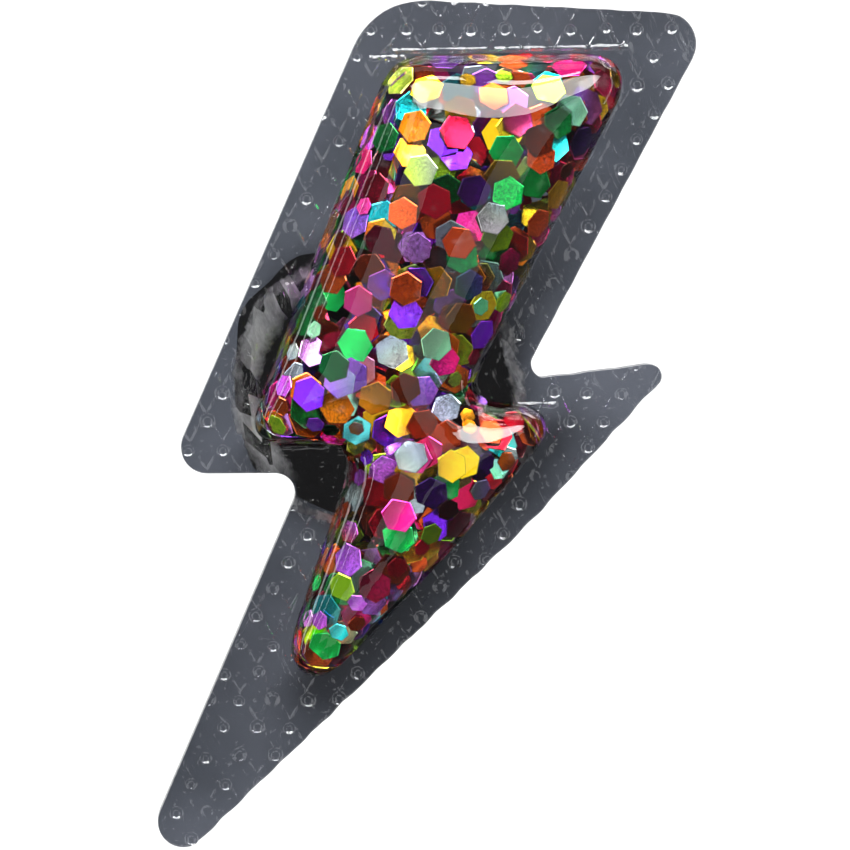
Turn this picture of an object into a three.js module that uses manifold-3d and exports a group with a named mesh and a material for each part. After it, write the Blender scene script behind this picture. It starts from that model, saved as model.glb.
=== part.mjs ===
// A lightning-bolt badge: a clear blister of glitter gel welded to a dark backing film, with a glued-on
// pin back and a butterfly clutch. Millimetres, +Z up, the front of the badge faces -Y. The origin is
// where the post leaves the flat back of the pad, so cloth lies against y = 0.
import * as THREE from "three";
import { mergeVertices } from "three/addons/utils/BufferGeometryUtils.js";
import Module from "manifold-3d";

const wasm = await Module();
wasm.setup();

// ---------------------------------------------------------------- driving dimensions
const GAP = 0.02; // between pieces that touch
const SPARE = 1; // how far a cutting block reaches past what it cuts
const ARC_STEPS = 5; // half the number of chords on each rounded corner

// Corners of the welded flange and of the blister's foot, seen from the front: x, height, corner radius.
const FLANGE = [
  [-0.05, 21.16, 4.2], // top left
  [-11.37, -4.57, 1.4], // left heel
  [-3.86, -4.57, 1.1], // left notch
  [-14.62, -29.44, 1.41], // bottom tip
  [8.32, -7.47, 60], // slight bow of the long lower edge
  [16.65, 1.53, 0.7], // right tip
  [7.83, 0.44, 0.7], // right notch
  [18.44, 20.24, 1.74], // top right
];
const FOOT = [
  [0.85, 18.06, 1.4], // top left
  [-7.35, -2.99, 0.7], // left heel
  [-1.05, -2.99, 0.6], // left notch
  [-7.03, -20.31, 1.5], // bottom tip
  [3.85, -9.05, 40], // slight bow of the long lower edge
  [10.75, -0.95, 1.0], // right tip
  [4.6, -0.82, 0.7], // right notch
  [14.5, 18.22, 1.5], // top right
];

const FILM = 0.45; // thickness of each vinyl film
const BLISTER_WALL = 0.25; // the front film thins where it is drawn into the blister
const BLISTER_RISE = 4.8; // height of the crown above the flange
const SHOULDER = 5.6; // distance from the foot at which the crown is flat
const SHOULDER_POWER = 2.2; // roundness of the shoulder: 2 is an ellipse, more is squarer
const WALL_FOOT = 0.6; // the height of the crown this far in is the height of the upright wall
const CROWN_GRID = 0.95; // size of the facets of the crown
const SMALLEST_CORNER = 0.15; // a corner that is drawn in keeps at least this radius

const PAD_RADIUS = 6.1;
const PAD_THICKNESS = 1.6;
const PAD_CHAMFER = 0.25;
const GLUE_THICKNESS = 0.3;
const GLUE_RADIUS = 7.2; // the glue spreads past the pad, up to the edge of the badge
const GLUE_EDGE = 0.12; // and stops this far inside that edge
// Where the glue spreads further: direction in degrees from +X, extra reach, half width in degrees.
const GLUE_LOBES = [
  [122, 1.1, 14],
  [148, 1.0, 14],
  [180, 0.5, 34],
  [216, 0.6, 14],
  [356, 0.6, 10],
];

const POST_RADIUS = 0.55;
const POST_REACH = 9.2; // from the pad to the point
const POST_POINT = 1.1; // length of the tapered point
const TIP_LENGTH = 0.1; // the last of the point is blunter
const TIP_SHARE = 0.3; // share of the post's radius where it begins
const GROOVE_START = 7.0; // the locking groove near the point
const GROOVE_LENGTH = 0.6;
const GROOVE_DEPTH = 0.14;
const HEAD_RADIUS = 3.5; // the flat head that is held in the pad
const HEAD_THICKNESS = 0.5;
const POST_CLEARANCE = 0.05;

const CLOTH_GAP = 2.4; // room for the cloth between the pad and the clutch at rest
const PLATE_RADIUS = 5.7;
const PLATE_THICKNESS = 0.35;
const PLATE_RIM = 0.95; // height of the turned-up rim
const PLATE_BEVEL = 0.3; // at the plate's outer edge
const PLATE_FILLET = 0.1; // inside its rim
const PLATE_HOLE = 0.75;
const DIMPLES = 6;
const DIMPLE_CIRCLE = 4.1;
const DIMPLE_RADIUS = 0.45;
const DIMPLE_HEIGHT = 0.25;
const DIMPLE_SINK = 0.01; // the dimple's middle is this deep in the plate

const WING_THICKNESS = 0.4;
const WING_HEEL = 1.25; // distance of each wing's heel from the post's axis
// Side view of the right wing's centre line: out from the post's axis, and away from the cloth.
const WING_LINE = [
  [WING_HEEL, 0],
  [1.28, 1.2],
  [1.6, 2.6],
  [2.8, 3.75],
  [4.6, 4.3],
  [6.3, 4.35],
];
const WING_STEPS = 18;
const WING_LIFT = 0.05; // clear above the plate's floor
const WING_ROOT_WIDTH = 3.6;
const WING_ROOT_START = 0.5; // where the plan of the wing begins, out from the post's axis
const WING_ROOT_END = 1.85; // and where it begins to widen
const WING_FLARE = 2.6; // where the sides of the widening part would meet the ear's width
const WING_EAR_WIDTH = 5.4;
const WING_EAR_LENGTH = 2.2; // from where the ear is full width to the wing's end
const WING_EAR_SWEEP = Math.PI / 2.4; // half the angle of the ear's round end

const SPRING_WIRE = 0.17; // radius of the spring's wire
const SPRING_OFFSET = 0.78; // distance of each leg from the post's axis
const SPRING_LEG = 2.4; // half length of the straight legs
const SPRING_LIFT = 0.4; // above the floor of the plate
const SPRING_STEPS = 8; // on the bend

const FLAKE_WIDTH = 1.6; // across the flats
const FLAKE_THICKNESS = 0.06;
const FLAKE_ROOM = 0.08; // clear space round each flake
const FLAKE_LAYER = 0.35; // depth between layers of flakes
const FLAKE_TILT = 11; // most that a flake leans, in degrees

// Finish of each material: colour, roughness, metalness and opacity.
const FINISHES = {
  clear_film: ["#dfe4ea", 0.08, 0, 0.25],
  smoke_film: ["#565b64", 0.4, 0, 1],
  gel: ["#e9edf2", 0.05, 0, 0.2],
  glue: ["#b9bac2", 0.35, 0, 0.8],
  black_plastic: ["#1f1c1f", 0.5, 0, 1],
  steel: ["#b9bcc0", 0.3, 1, 1],
  brass: ["#c9a24e", 0.28, 1, 1],
  silver: ["#c5ccd0", 0.2, 1, 1],
  lilac: ["#cf7bdc", 0.2, 1, 1],
  purple: ["#5c2286", 0.2, 1, 1],
  pink: ["#d83c86", 0.2, 1, 1],
  crimson: ["#8e1330", 0.2, 1, 1],
  copper: ["#8a3a1c", 0.2, 1, 1],
  orange: ["#d9761c", 0.2, 1, 1],
  gold: ["#a47a1c", 0.2, 1, 1],
  lime: ["#b4d84a", 0.2, 1, 1],
  green: ["#157a3c", 0.2, 1, 1],
  mint: ["#7fe0a8", 0.2, 1, 1],
  teal: ["#2f9aa0", 0.2, 1, 1],
};

// The flakes that lie against the front: x, height, layer below the film, turn in degrees, colour.
const FLAKES = [
  [10.9, 15.3, 0, 18, "lilac"],
  [4.3, 14.9, 0, 10, "gold"],
  [1.9, 14.6, 1, 40, "teal"],
  [2.9, 13.3, 2, 5, "crimson"],
  [6.3, 13.7, 1, 22, "gold"],
  [9.1, 13.3, 0, 12, "teal"],
  [7.5, 12.2, 2, 34, "purple"],
  [3.2, 11.8, 0, 48, "lime"],
  [4.9, 11.2, 1, 8, "crimson"],
  [6.7, 10.4, 0, 30, "lilac"],
  [8.1, 9.6, 1, 52, "gold"],
  [3.0, 9.0, 1, 15, "copper"],
  [4.8, 8.9, 2, 42, "pink"],
  [1.8, 7.8, 0, 28, "lilac"],
  [4.3, 7.3, 0, 3, "green"],
  [-0.2, 6.3, 1, 25, "purple"],
  [1.7, 6.0, 2, 50, "lime"],
  [-2.2, 5.0, 2, 20, "green"],
  [1.3, 4.3, 0, 36, "purple"],
  [4.9, 4.5, 1, 44, "silver"],
  [-0.9, 3.3, 1, 12, "purple"],
  [2.8, 3.3, 2, 18, "orange"],
  [-2.2, 2.4, 0, 46, "crimson"],
  [0.6, 2.2, 0, 6, "silver"],
  [-1.9, -0.3, 1, 38, "mint"],
  [-0.5, 0.4, 0, 2, "copper"],
  [0.9, 0.1, 2, 14, "lime"],
  [2.6, 1.1, 1, 22, "teal"],
  [1.2, -1.5, 0, 47, "orange"],
  [2.9, -1.7, 1, 9, "orange"],
  [1.8, -4.2, 0, 31, "gold"],
  [4.6, -3.5, 1, 27, "crimson"],
  [1.6, -5.7, 1, 41, "silver"],
  [1.1, -7.6, 0, 19, "green"],
  [2.5, -6.6, 2, 13, "pink"],
  [-1.2, -9.3, 1, 35, "copper"],
];

// ---------------------------------------------------------------- depths, measured forwards from the pad's back
const padFront = PAD_THICKNESS;
const backFilmBack = padFront + GLUE_THICKNESS + 2 * GAP;
const backFilmFront = backFilmBack + FILM;
const frontFilmBack = backFilmFront + GAP;
const flangeFront = frontFilmBack + FILM;

// ---------------------------------------------------------------- solids
function solidOf(geometry) {
  const bare = geometry.index ? geometry.toNonIndexed() : geometry.clone();
  for (const name of Object.keys(bare.attributes)) {
    if (name !== "position") bare.deleteAttribute(name);
  }
  const merged = mergeVertices(bare, 1e-4);
  const mesh = new wasm.Mesh({
    numProp: 3,
    vertProperties: merged.attributes.position.array,
    triVerts: new Uint32Array(merged.index.array),
  });
  return new wasm.Manifold(mesh);
}

function geometryOf(solid) {
  const mesh = solid.getMesh();
  const geometry = new THREE.BufferGeometry();
  geometry.setAttribute("position", new THREE.BufferAttribute(mesh.vertProperties, 3));
  geometry.setIndex(new THREE.BufferAttribute(mesh.triVerts, 1));
  return geometry;
}

function finish(name) {
  const [color, roughness, metalness, opacity] = FINISHES[name];
  const transparent = opacity < 1;
  return new THREE.MeshStandardMaterial({ color, roughness, metalness, opacity, transparent });
}

function piece(name, geometry, finishName) {
  const mesh = new THREE.Mesh(geometry, finish(finishName));
  mesh.name = name;
  return mesh;
}

// ---------------------------------------------------------------- outlines
const unit = ([x, y]) => [x / Math.hypot(x, y), y / Math.hypot(x, y)];
const turnOf = (a, b, c) => (b[0] - a[0]) * (c[1] - b[1]) - (b[1] - a[1]) * (c[0] - b[0]);

// The corners moved inwards by a margin. The corners run anticlockwise, so inwards is to the left.
function inset(corners, margin) {
  return corners.map((corner, i) => {
    const before = corners.at(i - 1);
    const after = corners[(i + 1) % corners.length];
    const a = unit([corner[0] - before[0], corner[1] - before[1]]);
    const b = unit([after[0] - corner[0], after[1] - corner[1]]);
    const reach = margin / (1 + a[0] * b[0] + a[1] * b[1]);
    const grow = turnOf(before, corner, after) > 0 ? -margin : margin;
    return [
      corner[0] - (a[1] + b[1]) * reach,
      corner[1] + (a[0] + b[0]) * reach,
      Math.max(SMALLEST_CORNER, corner[2] + grow),
    ];
  });
}

// A closed outline with an arc at each corner.
function outline(corners) {
  const shape = new THREE.Shape();
  corners.forEach((corner, i) => {
    const before = corners.at(i - 1);
    const after = corners[(i + 1) % corners.length];
    const a = unit([corner[0] - before[0], corner[1] - before[1]]);
    const b = unit([after[0] - corner[0], after[1] - corner[1]]);
    const left = turnOf(before, corner, after) > 0;
    const half = Math.acos(a[0] * b[0] + a[1] * b[1]) / 2;
    const reach = corner[2] * Math.tan(half);
    const side = left ? 1 : -1;
    const start = [corner[0] - a[0] * reach, corner[1] - a[1] * reach];
    const centre = [start[0] - a[1] * corner[2] * side, start[1] + a[0] * corner[2] * side];
    const from = Math.atan2(start[1] - centre[1], start[0] - centre[0]);
    if (i === 0) shape.moveTo(...start);
    else shape.lineTo(...start);
    shape.absarc(centre[0], centre[1], corner[2], from, from + side * 2 * half, !left);
  });
  return shape;
}

function prism(shape, back, front) {
  const options = { depth: front - back, bevelEnabled: false, curveSegments: ARC_STEPS };
  return new THREE.ExtrudeGeometry(shape, options).translate(0, 0, back);
}

// Distance from a point to the nearest side of the blister's foot, positive inside.
const footLine = outline(FOOT).getPoints(ARC_STEPS);
function depthInside(x, y) {
  let nearest = Infinity;
  let inside = false;
  footLine.forEach((q, i) => {
    const p = footLine.at(i - 1);
    const [dx, dy] = [q.x - p.x, q.y - p.y];
    const length = dx * dx + dy * dy || 1e-12;
    const t = THREE.MathUtils.clamp(((x - p.x) * dx + (y - p.y) * dy) / length, 0, 1);
    nearest = Math.min(nearest, Math.hypot(x - p.x - t * dx, y - p.y - t * dy));
    if (p.y > y !== q.y > y && x < p.x + ((y - p.y) * dx) / dy) inside = !inside;
  });
  return inside ? nearest : -nearest;
}

// Height of the crown above the flange: a superellipse shoulder that runs into a flat top.
function crownRise(x, y) {
  const t = Math.min(1, Math.max(WALL_FOOT, depthInside(x, y)) / SHOULDER);
  return BLISTER_RISE * (1 - (1 - t) ** SHOULDER_POWER) ** (1 / SHOULDER_POWER);
}

// A block whose front is the crown, lowered by a margin, over the whole blister.
function crownBlock(back, lower) {
  const xs = FOOT.map((corner) => corner[0]);
  const ys = FOOT.map((corner) => corner[1]);
  const [x0, x1] = [Math.min(...xs) - SPARE, Math.max(...xs) + SPARE];
  const [y0, y1] = [Math.min(...ys) - SPARE, Math.max(...ys) + SPARE];
  const columns = Math.ceil((x1 - x0) / CROWN_GRID);
  const rows = Math.ceil((y1 - y0) / CROWN_GRID);
  const block = new THREE.BoxGeometry(x1 - x0, y1 - y0, 1, columns, rows, 1);
  block.translate((x0 + x1) / 2, (y0 + y1) / 2, 0);
  const at = block.attributes.position;
  for (let i = 0; i < at.count; i += 1) {
    const front = flangeFront + crownRise(at.getX(i), at.getY(i)) - lower;
    at.setZ(i, at.getZ(i) > 0 ? front : back);
  }
  return solidOf(block);
}

// The blister's foot outline filled up to the crown, both drawn in by a margin.
function blister(back, margin) {
  const walls = prism(outline(inset(FOOT, margin)), back, flangeFront + BLISTER_RISE + SPARE);
  return solidOf(walls).intersect(crownBlock(back, margin));
}

// ---------------------------------------------------------------- films, gel and flakes
function makeFrontFilm() {
  const flange = solidOf(prism(outline(FLANGE), frontFilmBack, flangeFront));
  const cavity = blister(frontFilmBack - SPARE, BLISTER_WALL);
  return geometryOf(flange.add(blister(frontFilmBack, 0)).subtract(cavity));
}

function makeBackFilm() {
  return prism(outline(FLANGE), backFilmBack, backFilmFront);
}

// A hexagon across the flats, from one depth to another.
function hexagon(across, back, front) {
  const made = new THREE.CylinderGeometry(across / Math.sqrt(3), across / Math.sqrt(3), front - back, 6);
  return made.rotateX(Math.PI / 2).translate(0, 0, (back + front) / 2);
}

// Where a flake lies: under the lowest part of the film above it, by its layer, and a little tilted.
function flakePlace([x, y, layer, turn], index) {
  const reach = FLAKE_WIDTH / Math.sqrt(3) + FLAKE_ROOM;
  const roof = Array.from({ length: 6 }, (_, k) => {
    const angle = THREE.MathUtils.degToRad(turn + k * 60);
    return crownRise(x + reach * Math.sin(angle), y + reach * Math.cos(angle));
  });
  const lean = THREE.MathUtils.degToRad(FLAKE_TILT);
  const sink = BLISTER_WALL + FLAKE_THICKNESS + 3 * FLAKE_ROOM + reach * Math.sin(lean);
  const depth = flangeFront + Math.min(...roof) - sink - layer * FLAKE_LAYER;
  const tilt = [lean * Math.sin(index * 2.4), lean * Math.cos(index * 2.4)];
  return new THREE.Matrix4().compose(
    new THREE.Vector3(x, y, depth),
    new THREE.Quaternion().setFromEuler(
      new THREE.Euler(tilt[0], tilt[1], THREE.MathUtils.degToRad(turn)),
    ),
    new THREE.Vector3(1, 1, 1),
  );
}

function makeFlakes() {
  return FLAKES.map((flake, index) => {
    const number = String(index + 1).padStart(2, "0");
    const shape = hexagon(FLAKE_WIDTH, 0, FLAKE_THICKNESS);
    const mesh = piece(`flake_${number}_${flake[4]}`, shape, flake[4]);
    mesh.applyMatrix4(flakePlace(flake, index));
    return mesh;
  });
}

// The gel fills the blister. Each flake lies in a pocket that opens towards the film.
function makeGel() {
  let gel = blister(frontFilmBack, BLISTER_WALL + GAP);
  FLAKES.forEach((flake, index) => {
    const pocket = hexagon(FLAKE_WIDTH + 2 * FLAKE_ROOM, -FLAKE_ROOM, BLISTER_RISE);
    gel = gel.subtract(solidOf(pocket.applyMatrix4(flakePlace(flake, index))));
  });
  return geometryOf(gel);
}

// ---------------------------------------------------------------- pin back
function makeGlue() {
  const steps = 72;
  const points = Array.from({ length: steps }, (_, i) => {
    const degrees = (i * 360) / steps;
    const reach = GLUE_LOBES.reduce((sum, [at, extra, width]) => {
      const away = ((degrees - at + 540) % 360) - 180;
      return sum + extra * Math.exp(-((away / width) ** 2));
    }, GLUE_RADIUS);
    const angle = THREE.MathUtils.degToRad(degrees);
    return new THREE.Vector2(reach * Math.cos(angle), reach * Math.sin(angle));
  });
  const spread = prism(new THREE.Shape(points), padFront + GAP, padFront + GAP + GLUE_THICKNESS);
  const badgeBack = prism(outline(inset(FLANGE, GLUE_EDGE)), 0, backFilmBack);
  return geometryOf(solidOf(spread).intersect(solidOf(badgeBack)));
}

// A lathe's profile is [radius, y]. Along y, the cloth side of the pad is 0 and the badge is at -y.
function turned(profile, steps = 40) {
  return new THREE.LatheGeometry(profile.map(([r, y]) => new THREE.Vector2(r, y)), steps);
}

function makePad() {
  const recess = HEAD_RADIUS + POST_CLEARANCE;
  const floor = -PAD_THICKNESS + HEAD_THICKNESS + 2 * GAP;
  const bore = POST_RADIUS + POST_CLEARANCE;
  return turned([
    [bore, 0],
    [bore, floor],
    [recess, floor],
    [recess, -PAD_THICKNESS],
    [PAD_RADIUS, -PAD_THICKNESS],
    [PAD_RADIUS, -PAD_CHAMFER],
    [PAD_RADIUS - PAD_CHAMFER, 0],
    [bore, 0],
  ]);
}

function makePost() {
  const back = -PAD_THICKNESS;
  const neck = POST_RADIUS - GROOVE_DEPTH;
  return turned(
    [
      [0, back],
      [HEAD_RADIUS, back],
      [HEAD_RADIUS, back + HEAD_THICKNESS],
      [POST_RADIUS, back + HEAD_THICKNESS],
      [POST_RADIUS, GROOVE_START],
      [neck, GROOVE_START + GROOVE_DEPTH],
      [neck, GROOVE_START + GROOVE_LENGTH - GROOVE_DEPTH],
      [POST_RADIUS, GROOVE_START + GROOVE_LENGTH],
      [POST_RADIUS, POST_REACH - POST_POINT],
      [TIP_SHARE * POST_RADIUS, POST_REACH - TIP_LENGTH],
      [0, POST_REACH],
    ],
    24,
  );
}

// ---------------------------------------------------------------- butterfly clutch
const plateFloor = CLOTH_GAP + PLATE_THICKNESS;

function makePlate() {
  const rimEnd = CLOTH_GAP + PLATE_RIM;
  const dish = turned([
    [PLATE_HOLE, CLOTH_GAP],
    [PLATE_RADIUS - PLATE_BEVEL, CLOTH_GAP],
    [PLATE_RADIUS, CLOTH_GAP + PLATE_BEVEL],
    [PLATE_RADIUS, rimEnd],
    [PLATE_RADIUS - PLATE_THICKNESS, rimEnd],
    [PLATE_RADIUS - PLATE_THICKNESS, plateFloor + PLATE_FILLET],
    [PLATE_RADIUS - PLATE_THICKNESS - PLATE_FILLET, plateFloor],
    [PLATE_HOLE, plateFloor],
    [PLATE_HOLE, CLOTH_GAP],
  ]);
  let plate = solidOf(dish);
  for (let i = 0; i < DIMPLES; i += 1) {
    const angle = ((i + 0.5) * 2 * Math.PI) / DIMPLES;
    const dimple = new THREE.SphereGeometry(1, 10, 8);
    dimple.scale(DIMPLE_RADIUS, DIMPLE_HEIGHT, DIMPLE_RADIUS);
    const [x, z] = [DIMPLE_CIRCLE * Math.cos(angle), DIMPLE_CIRCLE * Math.sin(angle)];
    plate = plate.add(solidOf(dimple.translate(x, CLOTH_GAP + DIMPLE_SINK, z)));
  }
  return geometryOf(plate);
}

// Side view of a wing: a band of even thickness along its centre line.
function wingSide() {
  const line = new THREE.SplineCurve(WING_LINE.map(([x, y]) => new THREE.Vector2(x, y)));
  const edges = [[], []];
  for (let i = 0; i <= WING_STEPS; i += 1) {
    const at = line.getPoint(i / WING_STEPS);
    const along = line.getTangent(i / WING_STEPS);
    const across = new THREE.Vector2(-along.y, along.x).multiplyScalar(WING_THICKNESS / 2);
    edges[0].push(at.clone().add(across));
    edges[1].push(at.clone().sub(across));
  }
  return new THREE.Shape([...edges[1], ...edges[0].reverse()]);
}

// The wing seen along the post: a narrow root and a round ear.
function wingPlan() {
  const ear = WING_EAR_WIDTH / 2;
  const root = WING_ROOT_WIDTH / 2;
  const tip = WING_LINE.at(-1)[0];
  const plan = new THREE.Shape();
  plan.moveTo(WING_ROOT_START, -root);
  plan.lineTo(WING_ROOT_END, -root);
  plan.quadraticCurveTo(WING_FLARE, -ear, tip - WING_EAR_LENGTH, -ear);
  plan.absarc(tip - ear, 0, ear, -WING_EAR_SWEEP, WING_EAR_SWEEP, false);
  plan.lineTo(tip - WING_EAR_LENGTH, ear);
  plan.quadraticCurveTo(WING_FLARE, ear, WING_ROOT_END, root);
  plan.lineTo(WING_ROOT_START, root);
  plan.closePath();
  return plan;
}

function makeWing(side) {
  const widest = WING_EAR_WIDTH + 2 * SPARE;
  const highest = WING_LINE.at(-1)[1] + 2 * SPARE;
  const band = new THREE.ExtrudeGeometry(wingSide(), { depth: widest, bevelEnabled: false });
  band.translate(0, plateFloor + GAP + WING_LIFT, -widest / 2);
  const options = { depth: highest + SPARE, bevelEnabled: false, curveSegments: 6 };
  const plan = new THREE.ExtrudeGeometry(wingPlan(), options);
  plan.rotateX(Math.PI / 2).translate(0, plateFloor + highest, 0);
  const wing = geometryOf(solidOf(band).intersect(solidOf(plan)));
  return side > 0 ? wing : wing.rotateY(Math.PI);
}

function makeSpring() {
  const y = plateFloor + SPRING_LIFT;
  const route = new THREE.CurvePath();
  const corner = (x, z) => new THREE.Vector3(x, y, z);
  route.add(new THREE.LineCurve3(corner(-SPRING_OFFSET, -SPRING_LEG), corner(-SPRING_OFFSET, SPRING_LEG)));
  const bend = [];
  for (let i = 0; i <= SPRING_STEPS; i += 1) {
    const angle = Math.PI - (i * Math.PI) / SPRING_STEPS;
    bend.push(corner(SPRING_OFFSET * Math.cos(angle), SPRING_LEG + SPRING_OFFSET * Math.sin(angle)));
  }
  route.add(new THREE.CatmullRomCurve3(bend));
  route.add(new THREE.LineCurve3(corner(SPRING_OFFSET, SPRING_LEG), corner(SPRING_OFFSET, -SPRING_LEG)));
  const section = new THREE.Shape().absarc(0, 0, SPRING_WIRE, 0, 2 * Math.PI);
  return new THREE.ExtrudeGeometry(section, { steps: 4 * SPRING_STEPS, extrudePath: route, curveSegments: 4 });
}

// ---------------------------------------------------------------- assembly
const badge = new THREE.Group();
badge.add(piece("front_film", makeFrontFilm(), "clear_film"));
badge.add(piece("back_film", makeBackFilm(), "smoke_film"));
badge.add(piece("gel_fill", makeGel(), "gel"));
badge.add(...makeFlakes());
badge.add(piece("pad_glue", makeGlue(), "glue"));
badge.rotation.x = Math.PI / 2; // depth forwards becomes -Y, height becomes +Z

const pinBack = new THREE.Group();
pinBack.add(piece("pin_pad", makePad(), "black_plastic"));
pinBack.add(piece("pin_post", makePost(), "steel"));

const clutch = new THREE.Group();
clutch.add(piece("clutch_plate", makePlate(), "brass"));
clutch.add(piece("clutch_wing_left", makeWing(-1), "brass"));
clutch.add(piece("clutch_wing_right", makeWing(1), "brass"));
clutch.add(piece("clutch_spring", makeSpring(), "steel"));

const part = new THREE.Group();
part.add(badge, pinBack, clutch);
export default part;
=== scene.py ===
"""Looks for a glitter lightning-bolt badge pin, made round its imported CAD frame.

Shapes are worked out in millimetres on the face of the badge: x to the right, z up, and depth forwards,
which is -Y in the frame. Every Blender object is in metres.
"""
import math
import random

import bmesh
import bpy
import numpy as np
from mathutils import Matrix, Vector, noise
from mathutils.geometry import delaunay_2d_cdt


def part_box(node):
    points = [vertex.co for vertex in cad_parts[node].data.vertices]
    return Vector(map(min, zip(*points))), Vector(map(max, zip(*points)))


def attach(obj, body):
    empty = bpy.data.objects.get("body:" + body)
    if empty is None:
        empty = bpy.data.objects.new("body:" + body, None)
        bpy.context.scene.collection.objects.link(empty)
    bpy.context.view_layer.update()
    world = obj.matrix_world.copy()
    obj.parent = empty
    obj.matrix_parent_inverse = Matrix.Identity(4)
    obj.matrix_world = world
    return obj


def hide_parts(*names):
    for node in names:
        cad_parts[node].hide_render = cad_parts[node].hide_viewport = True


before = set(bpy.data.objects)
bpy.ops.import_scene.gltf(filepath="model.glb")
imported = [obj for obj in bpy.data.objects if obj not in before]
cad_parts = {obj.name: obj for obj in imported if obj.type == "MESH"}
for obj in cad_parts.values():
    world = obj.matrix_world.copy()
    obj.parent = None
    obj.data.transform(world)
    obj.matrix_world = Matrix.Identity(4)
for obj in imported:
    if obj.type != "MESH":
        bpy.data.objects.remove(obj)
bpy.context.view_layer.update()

# ---------------------------------------------------------------- values
MM = 0.001
BADGE_MIDDLE = Vector((0.003, 0, 0))
SEED = 41

# The blister, as in the CAD: a superellipse shoulder that runs into a flat crown.
SHOULDER = 5.6
SHOULDER_POWER = 2.2
BLISTER_WALL = 0.25
ROUNDING = 0.8  # how far the blister's ridges are smoothed
FIELD_PITCH = 0.1
WALL_RINGS = (0.0, 0.01, 0.03, 0.06, 0.1, 0.15, 0.2, 0.25, 0.26, 0.28, 0.31, 0.36, 0.43, 0.52, 0.63,
              0.76, 0.92, 1.1, 1.3, 1.55, 1.85, 2.2, 2.6)
RING_STEP = 0.25
CROWN_STEP = 0.36
CROWN_WAVE = 0.035  # soft unevenness of the crown
SAG = 0.45  # how far the crown's top end sags, about a middle across the badge
SAG_MIDDLE, SAG_WIDTH = 7.1, 2.6
SAG_START, SAG_LENGTH = 12.6, 4.5

# The embossed border.
BEAD_OFFSET = 0.5  # the weld bead runs this far outside the blister
BEAD_HEIGHT = 0.02
BEAD_WIDTH = 0.11
PIT_ACROSS = 1.8
PIT_DOWN = 1.52
PIT_START = 0.4  # height of the lowest row above the border's bottom
PIT_RADIUS = 0.37
PIT_WALL = 0.42  # share of the radius that slopes
PIT_DEPTH = 0.093
PIT_RINGS = ((0.0, 1), (0.35, 8), (0.6, 14), (0.7, 20), (0.8, 22), (0.9, 24), (1.0, 24), (1.12, 20),
             (1.3, 18))  # share of the radius, and points on the ring
CREASES = (  # straight creases beside the blister's level edges: x and z of each end
    ((-0.35, 17.85), (1.4, 17.95)),
    ((0.9, 18.25), (13.6, 18.5)),
    ((-6.6, -3.15), (-1.6, -3.05)),
    ((5.2, -0.9), (9.7, -0.9)),
)
CREASE_HEIGHT, CREASE_WIDTH = 0.09, 0.1
CREASE_OFFSETS = (-0.26, -0.17, -0.11, -0.055, 0.0, 0.055, 0.11, 0.17, 0.26)
PAINTED_SHADE_SIDE = (0.55, -0.83)  # painted shade: the backing film is darkened on this side of the blister, as if the blister's shadow fell there
GLUE_WET = 7.0  # inside this radius the glue wets the film and looks black
# Soft edges of the glue's smear and of its pale rim, as distances from the post in metres.
SMEAR_EDGES = ((0.0061, 0.0067), (0.0075, 0.0079))
SMEAR_RIGHT, SMEAR_BOTTOM = (-0.0048, -0.0038), (-0.0052, -0.004)  # soft ends of the smear, in metres
RIM_EDGES = ((0.0072, 0.0074), (0.0078, 0.008))
BORDER_GLOSS = 0.06
BOTH_FACES_IOR = 1.75  # more than the vinyl's, because both faces of the film shine
BORDER_STEP = 0.3
EDGE_STEP = 0.18
SCALLOP = 0.11  # depth of the waves in the cut edge
SCALLOP_LENGTH = 2.3

# Glitter.
FLAKE_ACROSS = 1.6
FLAKE_RADIUS = FLAKE_ACROSS / math.sqrt(3)
FLAKE_THICKNESS = 0.045
FLAKE_GAP = 0.02
PILE_FLOOR = 0.06  # how far above the backing film the lowest flakes lie
SKIN_GAP = 0.07  # least gap between a flake and the blister's skin
LIE_SHARE = 0.8  # how closely a flake follows the slope of what is below it
FLAKE_LEAN = 20  # most that a flake leans in the pile, in degrees
FLAKE_TRIES = 3200
HANG_TRIES = 14000
TIP_TRIES = 2500  # more for the narrow bottom tip
TIP_HEIGHT = 3.5
FACE_SHARE = 0.955  # a flake's face ends this far out, in a bevelled edge whose colour is brightened as a painted highlight
EDGE_PAINTED_HIGHLIGHT = 1.5
EDGE_PAINTED_PALENESS = 0.035
FLAKE_TONE_AND_PAINTED_LIGHT = (0.5, 0.75, 1.1, 1.4, 2.1, 3.0)  # how bright a flake is beside its shade, picked at random: partly the flake's own tone, partly painted light for flakes tilted towards or away from the lamps
BRIGHTEST = (1.2, 0.55)  # the brightest that a flake is, and that a silver flake is
HANG_LEAN = 3.0  # steepest slope of a flake that floats by the wall
WALL_FLAKE_STEP = 1.15
BARE_SIDE = (0.8, -0.6)  # few flakes lie against the blister's wall on this side
BARE_WIDTH = 0.45
PALETTE = {  # slot: how common it is, and its shades
    "lilac": (9, ("#dc8cf0", "#c05ee6", "#b070f0")),
    "purple": (10, ("#5a1aa8", "#3c1270", "#7a2cd0", "#340c54")),
    "pink": (9, ("#ea2c92", "#c8186e", "#ff4a9c", "#a01252")),
    "crimson": (22, ("#a80c22", "#70081c", "#d01228", "#520616", "#8c0c34")),
    "copper": (20, ("#963610", "#70240a", "#b44614")),
    "orange": (7, ("#f0820a", "#d8600a", "#ffa61a")),
    "gold": (11, ("#b48410", "#e0ae12", "#8e680a", "#f2d020")),
    "lime": (7, ("#c2f02e", "#98d020", "#dcf858")),
    "green": (10, ("#0a8438", "#065a28", "#16b048")),
    "mint": (4, ("#84f4b4", "#a8f8cc")),
    "teal": (4, ("#12a0a4", "#2cdcdc", "#0c646a", "#66ecec")),
    "silver": (4, ("#d4dee4", "#aab6be")),
}


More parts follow.
